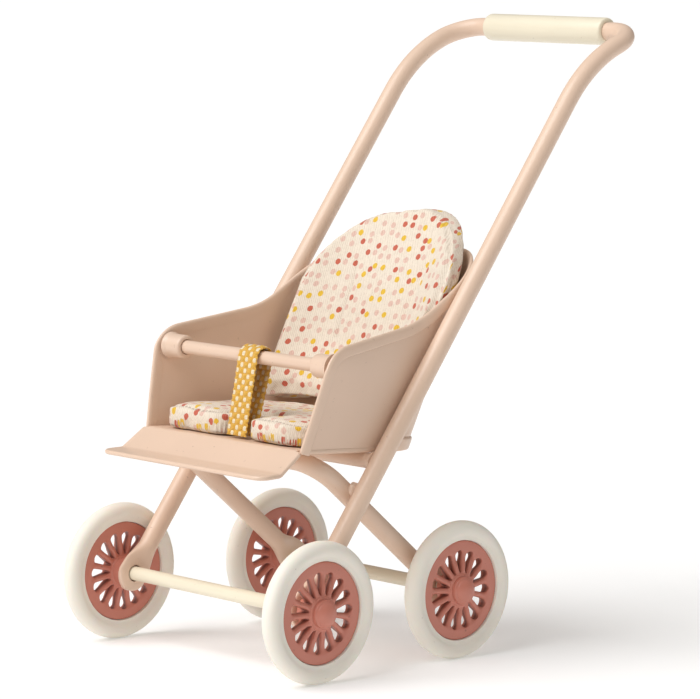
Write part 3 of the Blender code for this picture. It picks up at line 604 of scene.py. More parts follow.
def basket_group():
    """Plain-woven tape: one colour over, the other under, cell by cell."""
    group, get, put = new_group(
        "basket_tape",
        [
            ("Vector", "NodeSocketVector", None),
            ("Over", "NodeSocketColor", (0.8, 0.5, 0.1, 1)),
            ("Under", "NodeSocketColor", (0.9, 0.8, 0.6, 1)),
        ],
        [("Colour", "NodeSocketColor"), ("Height", "NodeSocketFloat")],
    )
    checks = add_node(group, "ShaderNodeTexChecker")
    group.links.new(get["Vector"], checks.inputs["Vector"])
    checks.inputs["Scale"].default_value = 1.0
    axes = add_node(group, "ShaderNodeSeparateXYZ")
    group.links.new(get["Vector"], axes.inputs[0])

    def hump(axis):
        wave = math_node(group, "SINE", math_node(group, "MULTIPLY", axis, math.pi))
        return math_node(group, "ABSOLUTE", wave)

    wide = hump(axes.outputs[0])
    tall = hump(axes.outputs[1])
    oval = remap(group, math_node(group, "MULTIPLY", math_node(group, "POWER", wide, 1.3), tall), 0.18, 0.42)
    shown = math_node(group, "MULTIPLY", oval, checks.outputs["Fac"])
    colour = mix_colours(group, shown, get["Over"], get["Under"])
    strands = math_node(group, "SINE", math_node(group, "MULTIPLY", axes.outputs[1], 2 * math.pi * 4))
    cross = math_node(group, "SINE", math_node(group, "MULTIPLY", axes.outputs[0], 2 * math.pi * 4))
    blend = add_node(group, "ShaderNodeMix", data_type="FLOAT")
    group.links.new(checks.outputs["Fac"], blend.inputs[0])
    group.links.new(strands, blend.inputs[2])
    group.links.new(cross, blend.inputs[3])
    fuzz = noise_node(group, get["Vector"], 6, 3, 0.7).outputs["Fac"]
    group.links.new(math_node(group, "MULTIPLY_ADD", fuzz, 2.0, blend.outputs[0]), put["Height"])
    darker = remap(group, fuzz, 0.3, 0.7, 0.78, 1.12)
    group.links.new(vector_node(group, "SCALE", colour, darker), put["Colour"])
    return group


def shared_group(name, build):
    return bpy.data.node_groups.get(name) or build()


def new_material(name, **sockets):
    made = bpy.data.materials.new(name)
    made.use_nodes = True
    shader = made.node_tree.nodes["Principled BSDF"]
    for socket, value in sockets.items():
        shader.inputs[socket.replace("_", " ")].default_value = value
    return made, made.node_tree, shader


def place_group(tree, name, build, **values):
    made = add_node(tree, "ShaderNodeGroup", node_tree=shared_group(name, build))
    for socket, value in values.items():
        feed(tree, made.inputs[socket.replace("_", " ")], value)
    return made.outputs


def add_bump(tree, shader, height, distance, strength=1.0):
    bump = add_node(tree, "ShaderNodeBump")
    bump.inputs["Distance"].default_value = distance
    bump.inputs["Strength"].default_value = strength
    tree.links.new(height, bump.inputs["Height"])
    tree.links.new(bump.outputs["Normal"], shader.inputs["Normal"])


def enamel(name, colour, speck_and_shade_colour, roughness, cloud, **sockets):
    """An enamelled or moulded finish on Object coordinates, with painted shade where the piece's stored shade
    attribute says.
    """
    found = bpy.data.materials.get(name)
    if found:
        return found
    made, tree, shader = new_material(name, **sockets)
    place = add_node(tree, "ShaderNodeTexCoord").outputs["Object"]
    # The piece's stored per-point amount of painted shade.
    seam_and_shade = add_node(tree, "ShaderNodeAttribute", attribute_name="seam_and_shade").outputs["Fac"]
    out = place_group(
        tree,
        "sprayed_enamel",
        enamel_group,
        Vector=place,
        Colour=colour,
        Seam_Colour=(*speck_and_shade_colour, 1),
        Seam=seam_and_shade,
        Cloud=cloud,
        Roughness=roughness,
    )
    tree.links.new(out["Colour"], shader.inputs["Base Color"])
    tree.links.new(out["Roughness"], shader.inputs["Roughness"])
    add_bump(tree, shader, out["Height"], 0.012 * MM, 0.6)
    return made


def colours():
    return bpy.context.scene.stroller_colours


def sizes():
    return bpy.context.scene.stroller_sizes


# The second colour of each enamel is its dark tone for dust specks and for painted shade.
def blush_paint():
    return enamel("sprayed_blush", colours().paint, (0.22, 0.12, 0.08), 0.42, 0.045, Coat_Weight=0.15)


def cream_enamel():
    return enamel("sprayed_cream", colours().cream, (0.3, 0.24, 0.16), 0.36, 0.05, Coat_Weight=0.1)


def rose_enamel():
    return enamel("sprayed_rose", colours().rose, (0.10, 0.03, 0.02), 0.42, 0.10, Coat_Weight=0.12)


def ivory_rubber():
    return enamel(
        "moulded_rubber", colours().rubber, (0.35, 0.3, 0.22), 0.62, 0.05, Subsurface_Weight=0.12,
        Subsurface_Scale=1.0 * MM,
    )


def spotted_cotton():
    found = bpy.data.materials.get("dotted_cotton")
    if found:
        return found
    made, tree, shader = new_material("dotted_cotton", Roughness=0.88, Sheen_Weight=0.25, Sheen_Roughness=0.5)
    own = colours()
    place = add_node(tree, "ShaderNodeUVMap", uv_map="cloth").outputs["UV"]
    print_out = place_group(
        tree,
        "dotted_print",
        print_group,
        Vector=place,
        Ground=own.cotton,
        Mustard=own.mustard,
        Terracotta=own.terracotta,
        Pink=own.pink,
        Pitch=sizes().dot_pitch,
        Dot_Radius=sizes().dot_radius,
    )
    weave = place_group(tree, "slub_twill", twill_group, Vector=place, Pitch=0.46)
    shadow = mix_colours(tree, math_node(tree, "MULTIPLY", weave["Shade"], 0.32), print_out["Colour"],
                         (0.42, 0.31, 0.22, 1), "MULTIPLY")
    # Darkened from the stored per-point amount: the seat cushion's dark stitches, and painted shade round the
    # pads' foot, seam groove and tuck fold.
    seam_and_shade = add_node(tree, "ShaderNodeAttribute", attribute_name="seam_and_shade").outputs["Fac"]
    colour = mix_colours(tree, seam_and_shade, shadow, (0.20, 0.12, 0.08, 1))
    tree.links.new(colour, shader.inputs["Base Color"])
    rough = remap(tree, weave["Height"], 0.2, 1.6, 0.95, 0.80)
    tree.links.new(rough, shader.inputs["Roughness"])
    add_bump(tree, shader, weave["Height"], 0.06 * MM, 0.7)
    return made


def woven_webbing():
    made, tree, shader = new_material("basket_webbing", Roughness=0.85, Sheen_Weight=0.2, Sheen_Roughness=0.5)
    place = add_node(tree, "ShaderNodeUVMap", uv_map="cloth").outputs["UV"]
    out = place_group(
        tree, "basket_tape", basket_group, Vector=place, Over=colours().webbing, Under=colours().yarn
    )
    # Painted shade where the strap runs behind and below the bumper bar, from the stored per-point amount.
    seam_and_shade = add_node(tree, "ShaderNodeAttribute", attribute_name="seam_and_shade").outputs["Fac"]
    colour = mix_colours(tree, seam_and_shade, out["Colour"], (0.30, 0.13, 0.03, 1))
    tree.links.new(colour, shader.inputs["Base Color"])
    add_bump(tree, shader, out["Height"], 0.04 * MM, 0.8)
    return made


def set_seam_and_shade(piece, shade):
    """Store how dark each point is painted, mostly painted shade in folds and recesses, with some dark
    stitching: shade is a function of the point's place and index.
    """
    layer = piece.data.attributes.get("seam_and_shade") or piece.data.attributes.new("seam_and_shade", "FLOAT", "POINT")
    values = [shade(vertex.co, vertex.index) for vertex in piece.data.vertices]
    layer.data.foreach_set("value", values)


# Frame tubes


def pad_half_width(along):
    """Half width of a pressed tube end, from its round tip to the full tube."""
    round_end = math.sqrt(max(PAD_RADIUS**2 - along**2, 0)) if along < PAD_FLAT else 0
    if along < PAD_FLAT / 2:
        return max(round_end, PAD_RADIUS * 0.2)
    widest = math.sqrt(PAD_RADIUS**2 - (PAD_FLAT / 2) ** 2)
    share = smooth_step((along - PAD_FLAT / 2) / (PAD_END - PAD_FLAT / 2))
    return widest + (sizes().tube_radius - widest) * share


def pad_half_thickness(along):
    """Half thickness of a pressed tube end, flat about the axle and round past it."""
    share = smooth_step((along - PAD_FLAT) / (PAD_END - PAD_FLAT))
    return PAD_THICKNESS / 2 + (sizes().tube_radius - PAD_THICKNESS / 2) * share


def squarer(value, share):
    """Push the sine or cosine of a round section towards a flat one; share 1 leaves it round."""
    power = 0.5 + 0.5 * share
    return math.copysign(abs(value) ** power, value)


def press_ends(tube, spacing, axle, leg):
    """Flatten both leg ends of a bent tube into round pads about the axle."""
    across = Vector((0, leg.z, -leg.y))
    radius = sizes().tube_radius
    for vertex in tube.data.vertices:
        side = math.copysign(spacing / 2, vertex.co.x)
        foot = Vector((side, axle.y, axle.z))
        from_axle = vertex.co - foot
        along = from_axle.dot(leg)
        if along > PAD_END:
            continue
        share = smooth_step((along - PAD_FLAT) / (PAD_END - PAD_FLAT))
        wide = squarer(from_axle.dot(across) / radius, 0.5 + share / 2) * pad_half_width(along)
        thick = squarer(from_axle.x / radius, share) * pad_half_thickness(along)
        vertex.co = foot + leg * along + across * wide + Vector((thick, 0, 0))


def pad_stations():
    """Distances from the axle of the rings of a pressed tube end."""
    round_end = [-PAD_RADIUS * math.cos(math.radians(angle)) for angle in range(0, 88, 8)]
    taper = [PAD_FLAT / 2 + (PAD_END - PAD_FLAT / 2) * n / 16 for n in range(17)]
    return round_end + taper


def corner_path(start, lean, radius, steps=20):
    """A quarter turn from a leg leaning towards +Y to the bar along -X."""
    leg = Vector((0, math.sin(lean), math.cos(lean)))
    inward = Vector((-radius, 0, 0))
    angles = [math.pi / 2 * step / steps for step in range(steps + 1)]
    return [start + inward * (1 - math.cos(a)) + leg * radius * math.sin(a) for a in angles]


def mirrored(half):
    """A line of points with its mirror image across X, from +X to -X."""
    return half + [Vector((-point.x, point.y, point.z)) for point in reversed(half)]


def drill_axle(tube, axle):
    deselect()
    bpy.ops.mesh.primitive_cylinder_add(
        vertices=40, radius=BORE_RADIUS, depth=0.2, location=axle, rotation=(0, math.pi / 2, 0)
    )
    cut(tube, bpy.context.active_object)


class STROLLER_OT_handle(bpy.types.Operator):
    """Bend the handle tube, press its ends flat and drill them for the front axle"""

    bl_idname = "stroller.handle"
    bl_label = "Handle tube"

    def execute(self, context):
        leg = Vector((0, math.sin(HANDLE_LEAN), math.cos(HANDLE_LEAN)))
        foot = Vector((HANDLE_SPACING / 2, FRONT_AXLE.y, FRONT_AXLE.z))
        half = [foot + leg * along for along in pad_stations()]
        bend = foot + leg * HANDLE_STRAIGHT
        side = Vector((0, math.cos(HANDLE_LEAN), -math.sin(HANDLE_LEAN)))
        centre = bend + side * HANDLE_BEND_RADIUS
        steps = 18
        for step in range(steps + 1):
            lean = HANDLE_LEAN + (HANDLE_SWEEP - HANDLE_LEAN) * step / steps
            half.append(centre + Vector((0, -math.cos(lean), math.sin(lean))) * HANDLE_BEND_RADIUS)
        half += corner_path(half.pop(), HANDLE_SWEEP, HANDLE_CORNER_RADIUS)
        tube = bent_tube("handle_tube", mirrored(half), sizes().tube_radius)
        press_ends(tube, HANDLE_SPACING, FRONT_AXLE, leg)
        drill_axle(tube, FRONT_AXLE)
        paint_metal(tube, "handle_frame")
        return {"FINISHED"}


class STROLLER_OT_rear_frame(bpy.types.Operator):
    """Bend the rear leg tube, press its ends flat and drill them for the rear axle"""

    bl_idname = "stroller.rear_frame"
    bl_label = "Rear leg tube"

    def execute(self, context):
        radius = sizes().tube_radius
        bar_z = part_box("rear_leg_frame")[1].z - radius
        bar = Vector((0, REAR_BAR_Y + MID_Y, bar_z))
        reach = bar - Vector((0, REAR_AXLE.y, REAR_AXLE.z))
        leg = reach.normalized()
        foot = Vector((REAR_SPACING / 2, REAR_AXLE.y, REAR_AXLE.z))
        half = [foot + leg * along for along in pad_stations()]
        corner = foot + leg * (reach.length - REAR_CORNER_RADIUS)
        half += corner_path(corner, math.atan2(leg.y, leg.z), REAR_CORNER_RADIUS)
        tube = bent_tube("rear_leg_tube", mirrored(half), radius)
        press_ends(tube, REAR_SPACING, REAR_AXLE, leg)
        drill_axle(tube, REAR_AXLE)
        paint_metal(tube, "rear_leg_frame")
        return {"FINISHED"}


class STROLLER_OT_grip(bpy.types.Operator):
    """Turn the cream sleeve round the push bar"""

    bl_idname = "stroller.grip"
    bl_label = "Grip sleeve"

    def execute(self, context):
        half = extent("handle_grip").x / 2
        outer = extent("handle_grip").z / 2
        bore = sizes().tube_radius + 0.05 * MM
        end = [(-0.0, 0.0), (-0.12, 0.42), (-0.38, 0.66), (-0.75, 0.75)]
        profile = [(half, bore)]
        wall = outer - bore
        profile += [(half + dx * MM, bore + wall * (0.35 + 0.65 * lift / 0.75)) for dx, lift in end]
        sleeve = turned("grip_sleeve", both_ends(profile), middle("handle_grip"), 64)
        finish_piece(sleeve, cream_enamel(), "frame", "cream_enamel", ["handle_grip"])
        return {"FINISHED"}


class STROLLER_OT_cross_bar(bpy.types.Operator):
    """Turn the bar under the seat, with its ends flared into their welds, and lay the crossing welds"""

    bl_idname = "stroller.cross_bar"
    bl_label = "Cross bar and welds"

    def execute(self, context):
        radius = extent("seat_cross_bar").z / 2
        reach = HANDLE_SPACING / 2 - sizes().tube_radius * 0.6
        flare = [(0, 0.55), (-0.5, 0.52), (-0.9, 0.36), (-1.4, 0.16), (-2.0, 0.04), (-2.8, 0)]
        half = [(reach, 0)] + [(reach + dx * MM, radius + lift * MM) for dx, lift in flare]
        bar = turned("cross_tube", both_ends(half), middle("seat_cross_bar"), 40)
        paint_metal(bar, "seat_cross_bar")
        for name in ("left", "right"):
            node = "crossing_weld_" + name
            centre = middle(node)
            size = extent(node)
            deselect()
            bpy.ops.mesh.primitive_uv_sphere_add(segments=28, ring_count=18, radius=1)
            bead = bpy.context.active_object
            bead.name = "weld_bead_" + name
            for vertex in bead.data.vertices:
                lump = 1 + 0.12 * noise.noise(vertex.co * 2.3)
                vertex.co = centre + Vector(
                    (vertex.co.x * size.x * 0.62, vertex.co.y * size.y * 0.55, vertex.co.z * size.z * 0.6)
                ) * lump
            paint_metal(bead, node)
        for row in ("front", "rear"):
            for name in ("left", "right"):
                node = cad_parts["pan_rivet_" + row + "_" + name]
                node.data.materials.clear()
                node.data.materials.append(blush_paint())
        return {"FINISHED"}


# Wheels


def slot_half_width(radius):
    """Half width of a teardrop slot, round at the rim and narrow at the hub."""
    wide_at = SLOT_TIP - SLOT_ROUND
    if radius >= wide_at:
        return math.sqrt(max(SLOT_ROUND**2 - (radius - wide_at) ** 2, 0))
    narrow_at = SLOT_ROOT + SLOT_NARROW
    if radius >= narrow_at:
        share = (radius - narrow_at) / (wide_at - narrow_at)
        return SLOT_NARROW + (SLOT_ROUND - SLOT_NARROW) * share**0.9
    return math.sqrt(max(SLOT_NARROW**2 - (narrow_at - radius) ** 2, 0))


def disc_rows():
    """Rows of (radius, face height, inside the slots) from the rim to the bore."""
    rows = [(10.95, 0), (10.95, 0.82), (10.87, 0.98), (10.7, 1.05), (10.3, 1.05), (9.8, 1.05), (9.35, 1.05)]
    rows = [(r, h, False) for r, h in in_mm(rows)]
    rows.append((SLOT_TIP, DISC_FACE, False))
    wide_at = SLOT_TIP - SLOT_ROUND
    radii = [wide_at + SLOT_ROUND * math.cos(math.radians(a)) for a in (0, 12, 25, 38, 50, 62, 75, 90)]
    root = SLOT_ROOT + SLOT_NARROW
    radii += [wide_at + (root - wide_at) * n / 13 for n in range(1, 14)]
    radii += [SLOT_ROOT + SLOT_NARROW * (1 - math.sin(math.radians(a))) for a in (30, 60, 90)]
    for radius in radii:
        share = smooth_step((SLOT_TIP - radius) / (SLOT_TIP - SLOT_ROOT))
        dip = 0.22 * MM * math.sin(math.pi * min((SLOT_TIP - radius) / (3.4 * MM), 1))
        rows.append((radius, DISC_FACE + 0.34 * MM * share - dip, True))
    hub = [(3.8, 1.39), (3.66, 1.44), (3.58, 1.62), (3.46, 1.73)]
    hub += [(3.3, 1.76), (1.9, 1.76), (1.85, 1.7), (1.85, 0)]
    rows += [(r, h, False) for r, h in in_mm(hub)]
    return rows


def disc_sector():
    """One ridge between two slots, from the rim to the bore, as half of the disc's thickness."""
    rows = disc_rows()
    pitch = 2 * math.pi / sizes().slot_count
    swings = [-90, -72, -52, -32, -14, 0, 14, 32, 52, 72, 90]

    def place(across, along):
        radius, height, open_slot = rows[round(along * (len(rows) - 1))]
        column = round(across * (len(swings) + 1))
        wall = column in (0, len(swings) + 1)
        swing = math.radians(swings[min(max(column - 1, 0), len(swings) - 1)])
        reach = pitch * radius / 2 - (slot_half_width(radius) if open_slot else 0)
        depth = 0.62 * MM
        if open_slot:
            near_tip = smooth_step((SLOT_TIP - radius) / (1.3 * MM))
            near_root = smooth_step((radius - SLOT_ROOT) / (0.8 * MM))
            drop = depth * min(near_tip, near_root) * (1 - math.cos(swing))
        else:
            drop = 0
        x = height - drop
        if wall and open_slot:
            x = 0
        angle = math.sin(swing) * reach / radius
        return (x, radius * math.sin(angle), -radius * math.cos(angle))

    return grid("disc", len(swings) + 1, len(rows) - 1, place)


def build_disc():
    """The pressed disc with its ridges and slots, the same on both faces, and its inner hub."""
    disc = disc_sector()
    count = sizes().slot_count
    edit(disc)
    bpy.ops.mesh.spin(
        steps=count - 1, dupli=True, angle=2 * math.pi * (count - 1) / count, center=(0, 0, 0), axis=(1, 0, 0)
    )
    bpy.ops.mesh.remove_doubles(threshold=0.004 * MM)
    leave_edit()
    other = disc.modifiers.new("other_face", "MIRROR")
    other.use_axis = (True, False, False)
    other.merge_threshold = 0.004 * MM
    apply(disc, other)
    clean(disc, 0.004 * MM)
    tube = [(-3.4, 1.85), (-3.4, 3.0), (-3.2, 3.2), (-1.9, 3.3), (-1.5, 3.5), (-1.4, 1.85)]
    hub = turned("hub", in_mm(tube), (0, 0, 0), 48)
    return join(disc, hub)


def build_tyre():
    """A round rubber section with a flat bore on the disc."""
    centre = WHEEL_RADIUS - TYRE_REACH
    bore = DISC_RADIUS + 0.06 * MM
    profile = [(0.9 * MM, bore), (1.45 * MM, bore + 0.12 * MM)]
    steps = 26
    for step in range(steps + 1):
        angle = math.radians(130) * (1 - 2 * step / steps)
        profile.append((TYRE_REACH * math.sin(angle), centre + TYRE_REACH * math.cos(angle)))
    profile += [(-1.45 * MM, bore + 0.12 * MM), (-0.9 * MM, bore)]
    return turned("tyre", profile, (0, 0, 0), 96)


def build_cap():
    """A domed cap with a rolled rim, seated on the hub."""
    dome = [(3.8, 0), (3.79, 0.4), (3.74, 0.85), (3.64, 1.3)]
    dome += [(3.48, 1.75), (3.26, 2.15), (3.02, 2.45), (2.82, 2.62)]
    rim = [(2.72, 2.66), (2.64, 2.72), (2.58, 2.86), (2.46, 3.0)]
    rim += [(2.3, 3.08), (2.0, 3.1), (1.72, 3.1), (1.72, 0)]
    return turned("cap", in_mm(dome + rim), (0, 0, 0), 48)


class STROLLER_OT_wheels(bpy.types.Operator):
    """Model one slotted disc, tyre and cap, and copy them to the four wheels"""

    bl_idname = "stroller.wheels"
    bl_label = "Wheels"

    def execute(self, context):
        models = {"disc": build_disc(), "tyre": build_tyre(), "hub_cap": build_cap()}
        finishes = {
            "disc": (rose_enamel(), "rose_enamel"),
            "tyre": (ivory_rubber(), "ivory_rubber"),
            "hub_cap": (rose_enamel(), "rose_enamel"),
        }
        # Painted shade on the slot walls, darkest in the middle of the disc's thickness.
        set_seam_and_shade(models["disc"], lambda co, n: 0.75 * smooth_step((0.55 * MM - abs(co.x)) / (0.5 * MM))
                 if SLOT_ROOT < math.hypot(co.y, co.z) < SLOT_TIP + 0.01 * MM else 0.0)
        for row, axle in (("front", FRONT_AXLE), ("rear", REAR_AXLE)):
            for name, side in (("left", 1), ("right", -1)):
                label = row + "_" + name
                wheel_x = middle("tyre_" + label).x
                turn = Matrix.Rotation(0 if side > 0 else math.pi, 4, "Z")
                roll = Matrix.Rotation(math.radians(7 if row == "front" else 3), 4, "X")
                place = Matrix.Translation((wheel_x, axle.y, axle.z)) @ turn
                for kind, model in models.items():
                    spun = place if kind == "tyre" else place @ roll
                    made = copy_of(model, "wheel_" + kind + "_" + label, spun)
                    finish, slot = finishes[kind]
                    finish_piece(made, finish, "wheel_" + label, slot, [kind + "_" + label], 40)
        for model in models.values():
            bpy.data.objects.remove(model, do_unlink=True)
        return {"FINISHED"}


class STROLLER_OT_axles(bpy.types.Operator):
    """Turn the two cream axles"""

    bl_idname = "stroller.axles"
    bl_label = "Axles"

    def execute(self, context):
        for node in ("front_axle", "rear_axle"):
            rod = turned_rod(node + "_rod", node, extent(node).z / 2, 0.3 * MM)
            finish_piece(rod, cream_enamel(), node + "_set", "cream_enamel", [node])
        return {"FINISHED"}


# Seat metal


def floor_height(y):
    """Height of the underside of the tilted seat floor."""
    return SEAT_FRONT_HEIGHT - math.tan(FLOOR_TILT) * (y - SEAT_FRONT)


def floor_top(y):
    return floor_height(y) + sizes().sheet


def back_line(z):
    """Distance y of the leaning back wall at a height."""
    return BACK_FOOT + math.tan(BACK_LEAN) * (z - SEAT_FRONT_HEIGHT)


def tub_side(y, z):
    """Half width of the tub, which splays upwards and to the front."""
    up = min(max((z - SEAT_FRONT_HEIGHT) / (18 * MM), 0), 1)
    ahead = max((12 * MM - y) / (28 * MM), 0)
    return TUB_HALF_WIDTH + SPLAY * up * ahead


def tub_turn(angle, z):
    """A point on the tub's rear corner and its outward normal."""
    reach = TUB_HALF_WIDTH - TUB_CORNER
    depth = back_line(z) - TUB_CORNER * (1 - math.sin(angle))
    point = Vector((reach + TUB_CORNER * math.cos(angle), depth, z))
    lean = math.tan(BACK_LEAN)
    return point, Vector((math.cos(angle), math.sin(angle), -math.sin(angle) * lean)).normalized()


def side_normal(y, z):
    step = 0.5 * MM
    along = (tub_side(y + step, z) - tub_side(y - step, z)) / (2 * step)
    up = (tub_side(y, z + step) - tub_side(y, z - step)) / (2 * step)
    return Vector((1, -along, -up)).normalized()


def side_outline():
    """The open edge in side view: up the front, round the corner, along the top and up the wing."""
    foot = Vector((SEAT_FRONT, SEAT_FRONT_HEIGHT))
    corner = foot + Vector((SIDE_FRONT_LEAN, SIDE_HEIGHT))
    wing = corner + Vector((SIDE_TOP_RUN, SIDE_TOP_RISE))
    far = wing + Vector((1, WING_RISE)) * 60 * MM
    return rounded([foot, corner, wing, far], [0, SIDE_CORNER_RADIUS, WING_FILLET, 0])


def edge_stations(height_of, path):
    """Points with outward normals along the +X half of an edge: side, rear corner and half the back."""
    stations = []
    for y, z in path:
        if y > back_line(z) - TUB_CORNER:
            break
        stations.append((Vector((tub_side(y, z), y, z)), side_normal(y, z)))
    z = stations[-1][0].z
    for step in range(1, 19):
        angle = math.pi / 2 * step / 18
        for _ in range(12):
            z = height_of(back_line(z) - TUB_CORNER * (1 - math.sin(angle)))
        stations.append(tub_turn(angle, z))
    last, normal = stations[-1]
    for step in range(1, 7):
        stations.append((Vector((last.x * (1 - step / 6), last.y, last.z)), normal))
    return stations


def both_sides(stations):
    """Stations of the +X half, then their mirror images back along the -X half."""
    flip = Vector((-1, 1, 1))
    return stations + [(point * flip, normal * flip) for point, normal in reversed(stations[:-1])]


def sweep_edge(name, stations, profile, turn, shades=None):
    """Carry a profile of (outwards, in from the edge) along an edge; turn is 1 or -1 for which way is in."""
    rings = []
    for index, (point, normal) in enumerate(stations):
        before = stations[max(index - 1, 0)][0]
        after = stations[min(index + 1, len(stations) - 1)][0]
        along = (after - before).normalized()
        inward = along.cross(normal).normalized() * turn
        rings.append([point + normal * out + inward * deep + Vector((0, MID_Y, 0)) for out, deep in profile])
    return loft(name, rings, shades)


def hem_profile(width):
    """Rolled hem: flush inside, round over the edge, folded flat against the outer face; with a painted shade
    for each profile point.
    """
    points = [(-0.36, 1.0), (-0.42, 0.62), (-0.46, 0.36), (-0.44, 0.24), (-0.36, 0.13), (-0.24, 0.05)]
    points += [(-0.06, 0.0), (0.14, 0.0), (0.34, 0.04), (0.5, 0.13), (0.62, 0.25), (0.68, 0.38), (0.7, 0.55)]
    points += [(0.72, 0.8), (0.70, 0.92), (0.64, 0.97), (0.52, 1.0), (0.3, 1.0), (0.1, 1.0)]
    # Painted shadow line: the last points, on the fold's return under the hem, are darkened where the hem
    # meets the outer face.
    shades = [0.0] * (len(points) - 4) + [0.25, 0.95, 1.0, 1.0]
    return [(out * MM, deep * width) for out, deep in points], shades


def slab(name, outline, reach):
    """A solid from a closed outline of points, extruded by a vector."""
    deselect()
    bpy.ops.mesh.primitive_circle_add(vertices=len(outline), radius=1, fill_type="NGON")
    piece = bpy.context.active_object
    piece.name = name
    for vertex, point in zip(piece.data.vertices, outline):
        vertex.co = point
    edit(piece)
    bpy.ops.mesh.extrude_region_move(TRANSFORM_OT_translate={"value": reach})
    bpy.ops.mesh.select_all(action="SELECT")
    bpy.ops.mesh.normals_make_consistent(inside=False)
    leave_edit()
    return piece


def thicken(surface):
    """Give a surface the seat sheet's thickness, half on each side."""
    wall = surface.modifiers.new("wall", "SOLIDIFY")
    wall.thickness = sizes().sheet
    wall.offset = 0
    apply(surface, wall)
    edit(surface)
    bpy.ops.mesh.normals_make_consistent(inside=False)
    leave_edit()


def build_tub_sheet():
    """The bent sheet of the side and back walls, trimmed just inside its hem."""
    low = SEAT_FRONT_HEIGHT - 5 * MM
    high = SEAT_FRONT_HEIGHT + 46 * MM
    straight = 26
    turn = 16
    flat = 8

    def place(across, along):
        z = low + (high - low) * along
        half = across * 2 if across <= 0.5 else (1 - across) * 2
        side = 1 if across <= 0.5 else -1
        column = half * (straight + turn + flat)
        start = SEAT_FRONT - 4 * MM
        turn_start = back_line(z) - TUB_CORNER
        if column <= straight:
            y = start + (turn_start - start) * column / straight
            return at(side * tub_side(y, z), y, z)
        if column <= straight + turn:
            point, _ = tub_turn(math.pi / 2 * (column - straight) / turn, z)
            return at(side * point.x, point.y, z)
        share = (column - straight - turn) / flat
        return at(side * (TUB_HALF_WIDTH - TUB_CORNER) * (1 - share), back_line(z), z)

    sheet = grid("tub_sheet", 2 * (straight + turn + flat), 40, place)
    thicken(sheet)
    edge = side_outline()
    inset = 0.9 * MM
    inner = []
    for index, point in enumerate(edge):
        before = edge[max(index - 1, 0)]
        after = edge[min(index + 1, len(edge) - 1)]
        way = (after - before).normalized()
        inner.append(point + Vector((way.y, -way.x)) * inset)
    foot = inner[0] + (inner[0] - inner[1]).normalized() * 0.05 * MM
    inner[0] = foot
    inner.append(Vector((inner[-1].x + 20 * MM, floor_height(inner[-1].x + 20 * MM))))
    trim = slab("trim", [(-TRIM_REACH, y + MID_Y, z) for y, z in inner], (2 * TRIM_REACH, 0, 0))
    cut(sheet, trim, "INTERSECT")
    return sheet


def wing_height(y):
    """Height of the open edge above a distance y behind the side's corner."""
    edge = side_outline()
    for first, second in zip(edge, edge[1:]):
        if first.x <= y <= second.x and second.x > first.x and first.y > SEAT_FRONT_HEIGHT + 15 * MM:
            return first.y + (second.y - first.y) * (y - first.x) / (second.x - first.x)
    return edge[-1].y


class STROLLER_OT_shell(bpy.types.Operator):
    """Bend the seat's wall and roll its hems"""

    bl_idname = "stroller.shell"
    bl_label = "Seat shell"

    def execute(self, context):
        sheet = build_tub_sheet()
        path = resampled(side_outline(), 0.9 * MM)
        top = both_sides(edge_stations(wing_height, path))
        profile, shades = hem_profile(sizes().hem_width)
        hem = sweep_edge("hem", top, profile, 1, shades)
        foot = [Vector((y * MM, floor_height(y * MM))) for y in np.linspace(3.8, 20.0, 60)]
        flange_stations = both_sides(edge_stations(floor_height, foot))
        flange_profile = [(-0.42, 0.1), (-0.3, 0.0), (0.3, -0.02), (0.62, 0.05), (0.78, 0.28), (0.8, 0.8)]
        flange_profile += [(0.78, 2.3), (0.7, 2.65), (0.5, 2.85), (0.2, 2.95), (-0.2, 2.95), (-0.42, 2.8)]
        flange = sweep_edge("flange", flange_stations, in_mm(flange_profile), -1)
        pieces = [hem, flange]
        for side in (1, -1):
            line = []
            for y in np.linspace(-20.9, 4.6, 40):
                z = floor_height(y * MM)
                line.append((Vector((side * tub_side(y * MM, z), y * MM, z)), Vector((side, 0, 0))))
            bead = [(-0.3, 0.0), (0.2, -0.06), (0.42, 0.0), (0.52, 0.18)]
            bead += [(0.5, 0.5), (0.42, 0.78), (0.2, 0.9), (-0.3, 0.9)]
            pieces.append(sweep_edge("foot", line, in_mm(bead), -side))
        shell = join(sheet, *pieces)
        shell.name = "seat_tub"
        paint_metal(shell, "seat_shell", 40)
        return {"FINISHED"}


def pan_line():
    """Side view of the pan's middle: floor, slope and lip, from the rear to the front."""
    half = sizes().sheet / 2
    rear_y = 14.2 * MM
    fold = Vector((SEAT_FRONT, SEAT_FRONT_HEIGHT + half))
    step = fold + Vector((-FOOTREST_RUN, -FOOTREST_DROP))
    lip = step + Vector((-LIP_RUN, -LIP_DROP))
    rear = Vector((rear_y, floor_height(rear_y) + half))
    return rounded([rear, fold, step, lip], [0, 1.5 * MM, 1.5 * MM, 0], 8)


def pan_half_width(y):
    """Half width of the pan: rounded at the rear, flared on the footrest, rounded at the lip."""
    front = SEAT_FRONT - FOOTREST_RUN - LIP_RUN
    if y > SEAT_FRONT - 0.15 * MM:
        inner = TUB_HALF_WIDTH - 0.85 * MM
        into = max(y - 5 * MM, 0) / (9.2 * MM)
        return inner - 9.5 * MM * (1 - math.sqrt(max(1 - into**2, 0)))
    wide = TUB_HALF_WIDTH + 0.3 * MM
    wide += FOOTREST_FLARE * (SEAT_FRONT - y) / (SEAT_FRONT - front)
    into = max(front + FOOTREST_CORNER - y, 0) / FOOTREST_CORNER
    return wide - FOOTREST_CORNER * (1 - math.sqrt(max(1 - min(into, 1) ** 2, 0)))


